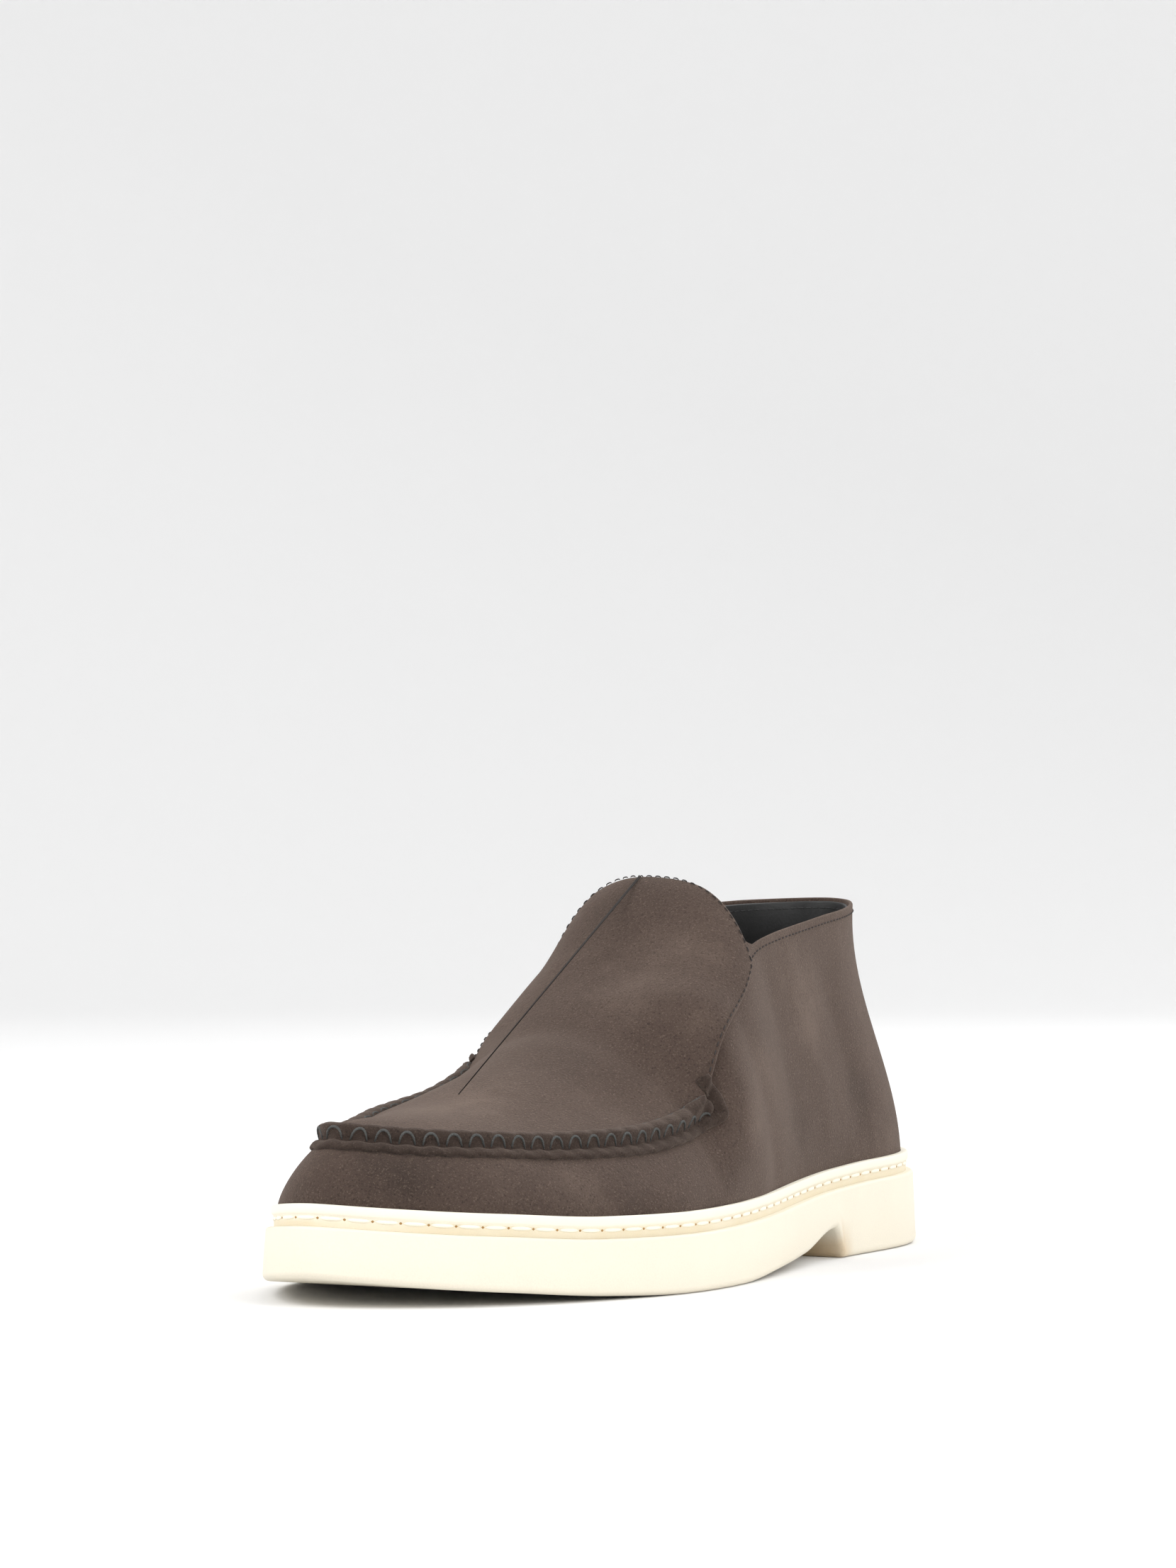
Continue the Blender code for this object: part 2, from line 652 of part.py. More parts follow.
def build_moc_seam():
    """Raised roll and lip along the apron's edge, from the lateral tab around the toe to the medial one."""
    leaves = float(share_angle(SEAM_LEAVES_EDGE))
    first = float(share_angle(SEAM_END_LATERAL))
    last = 2.0 * math.pi - float(share_angle(SEAM_END_MEDIAL))
    stations = np.concatenate([
        np.linspace(first, leaves, TAB_STATIONS, endpoint=False),
        np.linspace(leaves, 2.0 * math.pi - leaves, SEAM_STATIONS),
        np.linspace(2.0 * math.pi - leaves, last, TAB_STATIONS + 1)[1:],
    ])
    drop = seam_drop(stations)
    path = skin(stations, level_from_edge(stations, -drop))
    run = np.concatenate([[0.0], np.cumsum(np.linalg.norm(np.diff(path, axis=0), axis=1))])
    ease = np.clip(np.minimum(run, run[-1] - run) / (0.5 * SEAM_WIDTH), 0.0, 1.0)
    fullness = SEAM_END_FULLNESS + (1.0 - SEAM_END_FULLNESS) * np.sqrt(1.0 - (1.0 - ease) ** 2)
    along = np.array(SEAM_PROFILE["along"]) * SEAM_WIDTH
    over = np.array(SEAM_PROFILE["over"]) * SEAM_HEIGHT
    apron_top = APRON_WALL + 1.5 * CLEARANCE
    rows = []
    for station, full, lower in zip(stations, fullness, drop):
        reach = along * full
        edge_gap = 2.2 * CLEARANCE + min(0.5 * lower, 5.0 * CLEARANCE)
        step = min(lower - edge_gap, reach[0] - CLEARANCE)
        over_apron = apron_top * float(lower < reach[0] + 0.5 * SEAM_WIDTH)
        climb = np.clip((reach - step) / (0.2 * SEAM_WIDTH) + 1.0, 0.0, 1.0)
        height = 1.5 * CLEARANCE + over_apron * climb + over
        low = [reach[-1] + (step - reach[-1]) * share_value for share_value in (0.33, 0.67, 1.0)]
        high = [step + 0.1 * CLEARANCE, 0.5 * (step + reach[0]), reach[0] - 0.3 * CLEARANCE]
        base_reach = np.array(low + high)
        base_height = CLEARANCE * np.array([2.2, 2.4, 2.0, 1.4, 1.4, 1.0])
        base_height += np.array([0.0, 0.0, 0.0, 1.15, 1.15, 1.0]) * over_apron
        distance = np.concatenate([reach, base_reach]) - lower
        height = np.concatenate([height, base_height])
        angle = np.full(len(distance), station)
        rows.append(over_skin(angle, level_from_edge(angle, distance), height))
    count = len(rows[0])
    faces = loop_faces(len(rows), count)
    faces += [list(range(count))[::-1], [(len(rows) - 1) * count + k for k in range(count)]]
    mesh = mesh_from("moc_seam", np.concatenate(rows), faces)
    return new_object("moc_seam", mesh)


def build_heel_stay():
    """Patch up the back of the heel, with a rounded top."""
    reach = np.linspace(-1.0, 1.0, STAY_COLUMNS)
    near = np.linspace(0.0, 0.25 * math.pi, 80)
    half_angle = float(np.interp(STAY_HALF_WIDTH, outline(near)[:, 0], near))
    angle = (reach * half_angle) % (2.0 * math.pi)
    foot = WELT_HEIGHT + 2.0 * CLEARANCE
    shoulder = STAY_SHOULDER + (1.0 - STAY_SHOULDER) * np.sqrt(1.0 - 0.98 * reach ** 2)
    top = foot + (STAY_HEIGHT - foot) * shoulder
    level = np.array([level_at_height(angle, foot + (top - foot) * share_value)
                      for share_value in np.linspace(0.0, 1.0, STAY_ROWS)])
    grid_angle = np.broadcast_to(angle, level.shape)
    outer = over_skin(grid_angle, level, np.full(level.shape, CLEARANCE + STAY_THICKNESS))
    inner = over_skin(grid_angle, level, np.full(level.shape, CLEARANCE))
    return plate_solid("heel_stay", outer, inner)


def main():
    """Clear the scene and build every piece."""
    for old in list(bpy.data.objects):
        bpy.data.objects.remove(old, do_unlink=True)
    stations = ring_stations()
    build_outsole(stations)
    build_welt(stations)
    build_insole(stations)
    build_upper(stations)
    build_apron()
    build_moc_seam()
    build_heel_stay()


main()
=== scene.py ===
"""Looks of an ankle-high slip-on loafer in suede: a left shoe that stands empty on its sole.

Metres, +Z up, toe towards -Y, lateral side at +X, the frame's own axes.
Every piece is read from the last surface that shaped the frame: rings of sections that leave the sole at
the feather line (level 0), rise to an edge (level 1) and close over the crest of the foot (level 2).
"""

import math

import bmesh
import bpy
import numpy as np
from bpy.props import FloatProperty, FloatVectorProperty, PointerProperty
from mathutils import Matrix, Vector


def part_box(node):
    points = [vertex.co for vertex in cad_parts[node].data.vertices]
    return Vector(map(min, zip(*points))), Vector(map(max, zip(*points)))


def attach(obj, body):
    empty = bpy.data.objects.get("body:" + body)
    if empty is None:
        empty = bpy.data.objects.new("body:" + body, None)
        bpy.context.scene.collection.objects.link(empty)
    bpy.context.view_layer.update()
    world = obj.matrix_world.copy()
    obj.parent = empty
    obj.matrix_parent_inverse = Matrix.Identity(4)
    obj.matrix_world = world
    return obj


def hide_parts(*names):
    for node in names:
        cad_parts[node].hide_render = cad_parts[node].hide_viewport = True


bl_info = {
    "name": "Suede Loafer",
    "version": (1, 0, 0),
    "blender": (4, 5, 0),
    "location": "View3D > Sidebar > Loafer",
    "description": "Builds the finish of a suede slip-on loafer around its frame",
    "category": "Add Mesh",
}

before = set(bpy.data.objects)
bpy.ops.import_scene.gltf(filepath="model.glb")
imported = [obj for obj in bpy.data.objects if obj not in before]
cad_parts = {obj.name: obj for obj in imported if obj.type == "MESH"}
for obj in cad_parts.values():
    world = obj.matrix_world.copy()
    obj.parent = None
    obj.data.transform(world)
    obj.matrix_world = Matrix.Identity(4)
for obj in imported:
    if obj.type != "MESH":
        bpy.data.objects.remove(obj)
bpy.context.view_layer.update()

# Sole, from the frame where it can be read there
SOLE_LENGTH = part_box("outsole")[1].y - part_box("outsole")[0].y
BALL_WIDTH = 0.112
HEEL_WIDTH = 0.075
HEEL_BLOCK_HEIGHT = 0.0223
FOREPART_HEIGHT = 0.0158
TOE_SPRING = 0.0076
ARCH_RISE = 0.0090
SOLE_SIDE_DRAFT = 0.0008
SOLE_EDGE_ROUND = 0.0020
LEDGE_ROUND = 0.0009
TREAD_BORDER = 0.0050
WELT_HEIGHT = 0.0059
BAND_HEIGHT = 0.0031
BAND_STEP = 0.0030
BEAD_STEP = 0.0023
FEATHER_STEP = 0.0045

# Upper
INSTEP_HEIGHT = 0.0910
BACK_HEIGHT = 0.0806
TOE_BOX_HEIGHT = 0.0210
UPPER_WALL = 0.0022
SUEDE_WALL = 0.0013
APRON_WALL = 0.0020
SEAM_HEIGHT = 0.0020
STAY_THICKNESS = 0.0011
STAY_HALF_WIDTH = 0.0140
STAY_HEIGHT = 0.0560
CLEARANCE = 0.00035

# Where features stand, as shares of the sole's length from the heel
BREAST_REAR = 0.286
BREAST_FRONT = 0.306
TONGUE_TOP = 0.428
EAR_CUT = 0.036
EAR_REACH = 0.80
EAR_POWER = 1.5
SEAM_LEAVES_EDGE = 0.620
SEAM_END_LATERAL = 0.578
SEAM_END_MEDIAL = 0.575
TAB_UP_LATERAL = 1.50
TAB_UP_MEDIAL = 1.80
TOE_TIP_MEDIAL = 0.088

# Pull of the section curves, and the steps over which directions are measured
WALL_HANDLE = 0.36
TOP_HANDLE = 0.40
ANGLE_STEP = 0.012
LEVEL_STEP = 0.05
STATION_SPREAD = 0.17

MM = 0.001

# Fine grain of each rubber and of the lining, in cells per metre
RUBBER_GRAIN = 2300.0
STITCH_GRAIN = 3000.0
LINING_GRAIN = 1500.0

# Where the arch stands between heel and forepart, and how high the painted honey shade climbs there
ARCH_START = 0.30
ARCH_END = 0.56
HONEY_SHADE_HEIGHT = 0.006


def table(columns, rows):
    """A short table: column names in one string, one row for each section."""
    return {name: [row[i] for row in rows] for i, name in enumerate(columns.split())}


# Plan of the sole: half widths from the long axis
OUTLINE = table("share size lateral medial", [
    (0.02, HEEL_WIDTH, 0.235, 0.235),
    (0.05, HEEL_WIDTH, 0.350, 0.350),
    (0.10, HEEL_WIDTH, 0.445, 0.443),
    (0.20, HEEL_WIDTH, 0.500, 0.487),
    (0.30, HEEL_WIDTH, 0.526, 0.455),
    (0.40, BALL_WIDTH, 0.396, 0.295),
    (0.50, BALL_WIDTH, 0.456, 0.328),
    (0.60, BALL_WIDTH, 0.500, 0.424),
    (0.70, BALL_WIDTH, 0.505, 0.496),
    (0.80, BALL_WIDTH, 0.432, 0.490),
    (0.90, BALL_WIDTH, 0.292, 0.380),
    (0.95, BALL_WIDTH, 0.172, 0.292),
    (0.98, BALL_WIDTH, 0.060, 0.223),
])

# Ledge and underside of the sole: shares of the heel's extra height, the toe spring and the arch
SOLE_LEVELS = table("share heel ledge_toe arch under_toe", [
    (0.00, 1.00, 0.00, 0.00, 0.00),
    (0.20, 0.82, 0.00, 0.00, 0.00),
    (0.286, 0.66, 0.00, 0.00, 0.00),
    (0.306, 0.62, 0.00, 1.00, 0.00),
    (0.40, 0.40, 0.00, 0.42, 0.00),
    (0.50, 0.20, 0.00, 0.18, 0.00),
    (0.60, 0.06, 0.00, 0.00, 0.00),
    (0.70, 0.00, 0.00, 0.00, 0.00),
    (0.80, 0.00, 0.04, 0.00, 0.14),
    (0.90, 0.00, 0.30, 0.00, 0.47),
    (1.00, 0.00, 0.71, 0.00, 1.00),
])

# Edge of the wall: how far in from the feather line, and how high over the ledge
EDGE = table("share lateral_in medial_in size lateral_up medial_up", [
    (0.00, 0.172, 0.172, BACK_HEIGHT, 1.000, 1.000),
    (0.05, 0.150, 0.150, BACK_HEIGHT, 0.995, 1.000),
    (0.10, 0.128, 0.125, BACK_HEIGHT, 0.985, 1.000),
    (0.20, 0.090, 0.075, BACK_HEIGHT, 0.965, 0.990),
    (0.30, 0.072, 0.040, BACK_HEIGHT, 0.945, 0.975),
    (0.38, 0.080, 0.025, BACK_HEIGHT, 0.925, 0.950),
    (0.43, 0.088, 0.020, INSTEP_HEIGHT, 0.795, 0.775),
    (0.50, 0.074, 0.018, INSTEP_HEIGHT, 0.650, 0.600),
    (0.55, 0.074, 0.050, INSTEP_HEIGHT, 0.555, 0.520),
    (0.58, 0.080, 0.086, INSTEP_HEIGHT, 0.420, 0.456),
    (0.60, 0.086, 0.110, INSTEP_HEIGHT, 0.335, 0.421),
    (0.62, 0.094, 0.130, TOE_BOX_HEIGHT, 1.270, 1.700),
    (0.70, 0.112, 0.172, TOE_BOX_HEIGHT, 1.120, 1.445),
    (0.80, 0.112, 0.172, TOE_BOX_HEIGHT, 1.080, 1.270),
    (0.90, 0.102, 0.130, TOE_BOX_HEIGHT, 1.050, 1.060),
    (1.00, 0.088, 0.088, TOE_BOX_HEIGHT, 1.020, 1.020),
])

# Crest of the foot: each ring station closes on its own place along the crest
CREST = table("share along aside size up", [
    (0.00, 0.150, 0.000, INSTEP_HEIGHT, 1.080),
    (0.10, 0.190, 0.000, INSTEP_HEIGHT, 1.080),
    (0.30, 0.330, -0.010, INSTEP_HEIGHT, 1.060),
    (0.43, 0.447, -0.018, INSTEP_HEIGHT, 1.000),
    (0.50, 0.512, -0.026, INSTEP_HEIGHT, 0.790),
    (0.55, 0.560, -0.030, INSTEP_HEIGHT, 0.656),
    (0.60, 0.606, -0.036, INSTEP_HEIGHT, 0.562),
    (0.65, 0.650, -0.044, INSTEP_HEIGHT, 0.500),
    (0.70, 0.694, -0.050, INSTEP_HEIGHT, 0.448),
    (0.80, 0.778, -0.062, TOE_BOX_HEIGHT, 1.560),
    (0.90, 0.850, -0.076, TOE_BOX_HEIGHT, 1.350),
    (1.00, 0.900, -0.086, TOE_BOX_HEIGHT, 1.170),
])

# Shape of each section: outward swell, lean of the wall at its edge and of the top, in degrees from upright
SECTION = table("share swell lateral_lean medial_lean lateral_top medial_top", [
    (0.00, 0.006, -7.0, -7.0, 8.0, 8.0),
    (0.20, 0.010, 0.0, 0.0, 8.0, 8.0),
    (0.38, 0.012, 6.0, 4.0, 12.0, 12.0),
    (0.43, 0.012, 12.0, 6.0, 14.0, 10.0),
    (0.50, 0.018, 20.0, 14.0, 24.0, 22.0),
    (0.58, 0.022, 34.0, 32.0, 40.0, 46.0),
    (0.70, 0.026, 48.0, 50.0, 66.0, 66.0),
    (0.85, 0.029, 56.0, 58.0, 74.0, 72.0),
    (1.00, 0.034, 60.0, 60.0, 76.0, 76.0),
])

# How far the upper's wall runs past its edge, under the apron and tongue
WALL_TOP = table("share lateral medial", [
    (0.00, 1.00, 1.00),
    (0.42, 1.00, 1.00),
    (0.47, 1.22, 1.20),
    (0.58, 1.30, 1.30),
    (0.75, 1.24, 1.24),
    (1.00, 1.26, 1.26),
])

# Soft folds in the suede: from one place to another (side 1 is lateral), their width and depth in mm
FOLDS = table("side share level to_share to_level width depth", [
    (1, 0.605, 0.80, 0.655, 0.15, 8.0, -0.55),
    (1, 0.660, 0.72, 0.700, 0.20, 8.0, 0.40),
    (1, 0.730, 0.60, 0.760, 0.20, 7.0, -0.35),
    (1, 0.545, 0.62, 0.520, 0.18, 9.0, 0.55),
    (1, 0.500, 0.80, 0.470, 0.20, 7.0, -0.60),
    (1, 0.400, 0.85, 0.380, 0.30, 9.0, -0.50),
    (1, 0.330, 0.85, 0.290, 0.25, 10.0, 0.60),
    (1, 0.240, 0.75, 0.210, 0.25, 8.0, -0.55),
    (1, 0.955, 0.70, 0.955, 0.25, 7.0, -0.35),
    (1, 0.880, 0.70, 0.885, 0.25, 8.0, 0.30),
    (1, 0.610, 1.35, 0.600, 2.00, 6.0, -0.45),
    (1, 0.555, 1.30, 0.560, 2.00, 7.0, 0.40),
    (1, 0.520, 1.15, 0.515, 2.00, 6.0, -0.40),
    (-1, 0.610, 1.40, 0.600, 2.00, 6.0, -0.40),
    (-1, 0.620, 0.75, 0.670, 0.20, 8.0, -0.60),
    (-1, 0.690, 0.70, 0.720, 0.20, 8.0, 0.40),
    (-1, 0.500, 0.75, 0.460, 0.20, 8.0, -0.55),
    (-1, 0.360, 0.80, 0.330, 0.30, 9.0, 0.50),
    (-1, 0.230, 0.75, 0.220, 0.25, 8.0, -0.50),
])

# Where the suede is lighter or darker, partly from brushed nap and partly as painted light and painted
# shade: place, radius in mm and strength
NAP_AND_LIGHT_PATCHES = table("side share level radius strength", [
    (1, 0.823, 1.86, 15.0, 0.75),
    (1, 0.724, 1.94, 13.0, 0.45),
    (1, 0.492, 1.54, 13.0, 0.60),
    (1, 0.551, 1.63, 14.0, 0.35),
    (1, 0.560, 1.16, 8.0, 0.60),
    (1, 0.450, 1.98, 15.0, -0.45),
    (1, 0.338, 0.82, 14.0, 0.35),
    (1, 0.472, 0.60, 11.0, 0.35),
    (1, 0.305, 0.67, 13.0, 0.45),
    (1, 0.206, 0.34, 10.0, -0.90),
    (1, 0.452, 0.72, 6.0, -0.45),
    (1, 0.971, 0.63, 11.0, -0.60),
    (1, 0.955, 0.53, 9.0, -0.50),
    (1, 0.881, 0.60, 11.0, 0.30),
    (1, 0.817, 0.45, 12.0, 0.40),
    (1, 0.758, 0.38, 9.0, -0.35),
    (1, 0.662, 1.71, 12.0, -0.40),
    (1, 0.134, 0.14, 9.0, 0.45),
    (1, 0.546, 0.50, 10.0, 0.45),
    (1, 0.374, 0.23, 10.0, -0.35),
    (-1, 0.900, 0.60, 12.0, -0.35),
    (-1, 0.760, 0.50, 14.0, 0.45),
    (-1, 0.640, 0.55, 10.0, -0.40),
    (-1, 0.520, 0.60, 13.0, 0.40),
    (-1, 0.400, 0.45, 10.0, -0.45),
    (-1, 0.300, 0.75, 13.0, 0.40),
    (-1, 0.170, 0.40, 11.0, -0.50),
    (-1, 0.600, 1.40, 10.0, 0.35),
])


def share_angle(share):
    """Ring angle, on the lateral side, of a share of the length from the heel."""
    return np.arccos(1.0 - 2.0 * np.asarray(share, float))


def angle_share(angle):
    """Share of the length, from the heel, at a ring angle."""
    return (1.0 - np.cos(angle)) / 2.0


def ring_knots(rows, lateral, medial):
    """Knots once around the ring: lateral rows heel to toe, medial rows back again."""
    angles = list(share_angle(rows["share"]))
    values = list(lateral)
    for share_value, value in reversed(list(zip(rows["share"], medial))):
        if 0.0 < share_value < 1.0:
            angles.append(2.0 * math.pi - float(share_angle(share_value)))
            values.append(value)
    return np.array(angles), np.array(values, float)


def closed_slopes(angles, values):
    """Slopes at the knots of a closed curve that never overshoots its knots."""
    step = np.append(np.diff(angles), angles[0] + 2.0 * math.pi - angles[-1])
    rise = (np.roll(values, -1) - values) / step
    before, after = np.roll(rise, 1), rise
    same_way = before * after > 0.0
    slopes = np.zeros(len(values))
    slopes[same_way] = 2.0 * (before * after)[same_way] / (before + after)[same_way]
    return slopes


def smooth_slopes(angles, values):
    """Slopes at the knots of a closed curve with even curvature, for the plan of the sole."""
    count = len(values)
    step = np.append(np.diff(angles), angles[0] + 2.0 * math.pi - angles[-1])
    rise = (np.roll(values, -1) - values) / step
    matrix = np.zeros((count, count))
    right = np.zeros(count)
    for i in range(count):
        before = (i - 1) % count
        after = (i + 1) % count
        matrix[i, before] += 1.0 / step[before]
        matrix[i, i] += 2.0 / step[before] + 2.0 / step[i]
        matrix[i, after] += 1.0 / step[i]
        right[i] = 3.0 * (rise[before] / step[before] + rise[i] / step[i])
    return np.linalg.solve(matrix, right)


def around(rows, lateral, medial, slopes_of=closed_slopes):
    """A smooth function of the ring angle through the rows of a table."""
    angles, values = ring_knots(rows, lateral, medial)
    slopes = slopes_of(angles, values)
    ends = np.append(angles, angles[0] + 2.0 * math.pi)

    def read(angle):
        turned = (np.asarray(angle, float) - angles[0]) % (2.0 * math.pi) + angles[0]
        i = np.clip(np.searchsorted(ends, turned, side="right") - 1, 0, len(values) - 1)
        j = (i + 1) % len(values)
        step = ends[i + 1] - ends[i]
        t = (turned - ends[i]) / step
        blend = t * t * (3.0 - 2.0 * t)
        leave = t * (1.0 - t) ** 2
        arrive = t * t * (t - 1.0)
        return values[i] + (values[j] - values[i]) * blend + step * (slopes[i] * leave + slopes[j] * arrive)

    return read


def scaled(rows, column, size="size"):
    """A column times the named size of its row."""
    return [value * length for value, length in zip(rows[column], rows[size])]


def plan_reader():
    """Signed distance of the sole's outline from the middle of its width, toe tip and heel included."""
    rows = {"share": [0.0] + OUTLINE["share"] + [1.0]}
    tip = -TOE_TIP_MEDIAL * BALL_WIDTH
    lateral = [0.0] + scaled(OUTLINE, "lateral") + [tip]
    medial = [0.0] + [-value for value in scaled(OUTLINE, "medial")] + [tip]
    read = around(rows, lateral, medial, smooth_slopes)
    sides = read(np.linspace(0.0, 2.0 * math.pi, 721))
    middle = 0.5 * (sides.max() + sides.min())
    return lambda angle: read(angle) - middle


def even(rows, column):
    """A reader for a column that is the same on both sides."""
    return around(rows, rows[column], rows[column])


def ledge_levels():
    """Height of the sole's top ledge at each row of its table."""
    extra = HEEL_BLOCK_HEIGHT - FOREPART_HEIGHT
    return [FOREPART_HEIGHT + extra * heel + TOE_SPRING * toe
            for heel, toe in zip(SOLE_LEVELS["heel"], SOLE_LEVELS["ledge_toe"])]


def under_levels():
    """Height of the sole's underside at each row of its table."""
    return [ARCH_RISE * arch + TOE_SPRING * toe
            for arch, toe in zip(SOLE_LEVELS["arch"], SOLE_LEVELS["under_toe"])]


plan_side = plan_reader()
ledge_height = around(SOLE_LEVELS, ledge_levels(), ledge_levels())
under_height = around(SOLE_LEVELS, under_levels(), under_levels())
edge_in = around(EDGE, EDGE["lateral_in"], EDGE["medial_in"])
edge_up = around(EDGE, scaled(EDGE, "lateral_up"), scaled(EDGE, "medial_up"))
crest_along = even(CREST, "along")
crest_aside = even(CREST, "aside")
crest_up = around(CREST, scaled(CREST, "up"), scaled(CREST, "up"))
section_swell = even(SECTION, "swell")
wall_lean = around(SECTION, SECTION["lateral_lean"], SECTION["medial_lean"])
top_lean = around(SECTION, SECTION["lateral_top"], SECTION["medial_top"])
wall_top = around(WALL_TOP, WALL_TOP["lateral"], WALL_TOP["medial"])


def outline(angle, step_in=0.0):
    """Plan point of the sole's outline, moved in along its normal."""
    angle = np.asarray(angle, float)

    def point(a):
        return np.stack([plan_side(a), SOLE_LENGTH * (0.5 - angle_share(a))], axis=-1)

    along = point(angle + ANGLE_STEP / 3.0) - point(angle - ANGLE_STEP / 3.0)
    along /= np.linalg.norm(along, axis=-1, keepdims=True)
    inward = np.stack([along[..., 1], -along[..., 0]], axis=-1)
    return point(angle) + step_in * inward


def bezier(p0, p1, p2, p3, t):
    """Points of a cubic curve at the shares t."""
    t = t[..., None]
    u = 1.0 - t
    return u ** 3 * p0 + 3.0 * u * u * t * p1 + 3.0 * u * t * t * p2 + t ** 3 * p3


def lift(plan, height):
    """Plan points set at their heights."""
    height = np.broadcast_to(height, plan.shape[:-1])
    return np.concatenate([plan, height[..., None]], axis=-1)


def skin(angle, level):
    """Point of the last surface: level 0 at the feather line, 1 at the edge, 2 at the crest."""
    angle, level = np.broadcast_arrays(np.asarray(angle, float), np.asarray(level, float))
    base = ledge_height(angle) + CLEARANCE
    feather = outline(angle, FEATHER_STEP)
    crest_y = SOLE_LENGTH * (0.5 - crest_along(angle))
    crest = np.stack([crest_aside(angle) * BALL_WIDTH, crest_y], axis=-1)
    inward = crest - feather
    inward /= np.linalg.norm(inward, axis=-1, keepdims=True)
    edge = feather + inward * (edge_in(angle) * BALL_WIDTH)[..., None]
    rise = edge_up(angle)
    flat = lift(inward, np.zeros_like(rise))
    up = np.zeros_like(flat)
    up[..., 2] = 1.0
    foot = lift(feather, base)
    rim = lift(edge, base + rise)
    top = lift(crest, ledge_height(angle) + crest_up(angle))

    lean = np.radians(wall_lean(angle))[..., None]
    reach = (WALL_HANDLE * rise)[..., None]
    swell = (section_swell(angle) * BALL_WIDTH)[..., None]
    wall_start = foot + up * reach - flat * swell
    wall_end = rim - (up * np.cos(lean) + flat * np.sin(lean)) * reach
    wall = bezier(foot, wall_start, wall_end, rim, np.clip(level, 0.0, 1.0))

    tilt = np.radians(top_lean(angle))[..., None]
    span = TOP_HANDLE * np.linalg.norm(top - rim, axis=-1, keepdims=True)
    roof_start = rim + (up * np.cos(tilt) + flat * np.sin(tilt)) * span
    roof_end = top - flat * span
    roof = bezier(rim, roof_start, roof_end, top, np.clip(level - 1.0, 0.0, 1.0))
    return np.where((level <= 1.0)[..., None], wall, roof)


def skin_normal(angle, level):
    """Outward normal of the last surface, eased over the crease at its edge."""
    angle, level = np.broadcast_arrays(np.asarray(angle, float), np.asarray(level, float))
    level = np.clip(level, 0.6 * LEVEL_STEP, 2.0 - 1.6 * LEVEL_STEP)
    across = skin(angle + ANGLE_STEP, level) - skin(angle - ANGLE_STEP, level)
    rising = skin(angle, level + LEVEL_STEP) - skin(angle, np.maximum(level - LEVEL_STEP, 0.0))
    normal = np.cross(rising, across)
    return normal / np.linalg.norm(normal, axis=-1, keepdims=True)


def level_from_edge(angle, distance):
    """Level of a point that lies a small distance past the edge (positive towards the crest)."""
    angle, distance = np.broadcast_arrays(np.asarray(angle, float), np.asarray(distance, float))
    wall_speed = 3.0 * WALL_HANDLE * edge_up(angle)
    reach = np.linalg.norm(skin(angle, 2.0) - skin(angle, 1.0), axis=-1)
    roof_speed = 3.0 * TOP_HANDLE * reach
    return 1.0 + np.where(distance > 0.0, distance / roof_speed, distance / wall_speed)


def level_at_height(angle, height):
    """Level at which the wall stands a given height over its foot."""
    samples = np.linspace(0.0, 1.0, 41)
    angle = np.asarray(angle, float)
    height = np.broadcast_to(height, angle.shape)
    rise = skin(angle[:, None], samples[None, :])[..., 2]
    rise = rise - rise[:, :1]
    return np.array([np.interp(h, row, samples) for h, row in zip(height, rise)])


def smooth(value):
    """Value eased from 0 to 1."""
    value = np.clip(value, 0.0, 1.0)
    return value * value * (3.0 - 2.0 * value)


def place(side, share, level):
    """Point of the last surface at a side, share of the length and level."""
    return skin(float(side) * share_angle(share), level)


def fold_lines():
    """Start, run, width and depth of each fold."""
    columns = [FOLDS[key] for key in "side share level to_share to_level width depth".split()]
    found = []
    for side, share, level, to_share, to_level, width, depth in zip(*columns):
        start = place(side, share, level)
        found.append((start, place(side, to_share, to_level) - start, width, depth))
    return found


fold_table = fold_lines()


def folds(points):
    """Height of the suede's soft folds at points of the last surface."""
    height = np.zeros(points.shape[:-1])
    for start, line, width, depth in fold_table:
        t = np.clip((points - start) @ line / (line @ line), 0.0, 1.0)
        off = np.linalg.norm(points - start - t[..., None] * line, axis=-1)
        height += depth * MM * np.exp(-(off / (width * MM)) ** 2)
    return height


def formed(angle, level, height=0.0):
    """Point at a height over the last surface, with the suede's soft folds."""
    bare = skin(angle, level)
    height = np.asarray(height, float) + folds(bare)
    return bare + even_normal(angle, level) * height[..., None]


def even_normal(angle, level):
    """Outward normal, the same from both sides where they meet at the crest."""
    here = skin_normal(angle, level)
    across = skin_normal(2.0 * math.pi - np.asarray(angle, float), level)
    share = (0.5 * smooth((np.asarray(level, float) - 1.6) / 0.4))[..., None]
    mixed = here * (1.0 - share) + across * share
    return mixed / np.linalg.norm(mixed, axis=-1, keepdims=True)


def ring_angles(count):
    """Ring angles once around, the same shares on both sides."""
    even_steps = np.linspace(0.0, math.pi, count // 2 + 1)
    side = even_steps + STATION_SPREAD * np.sin(2.0 * even_steps)
    for share_value in (BREAST_REAR, BREAST_FRONT):
        special = float(share_angle(share_value))
        side[np.argmin(np.abs(side - special))] = special
    side = np.sort(side)
    return np.concatenate([side, (2.0 * math.pi - side[1:-1])[::-1]])


# Mesh building

def finish_piece(name, mesh, material, replaces=()):
    """The mesh as a smooth-shaded piece that rides on the frame."""
    mesh.materials.append(material)
    mesh.shade_smooth()
    piece = bpy.data.objects.new(name, mesh)
    bpy.context.scene.collection.objects.link(piece)
    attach(piece, "root")
    if replaces:
        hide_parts(*replaces)
    return piece


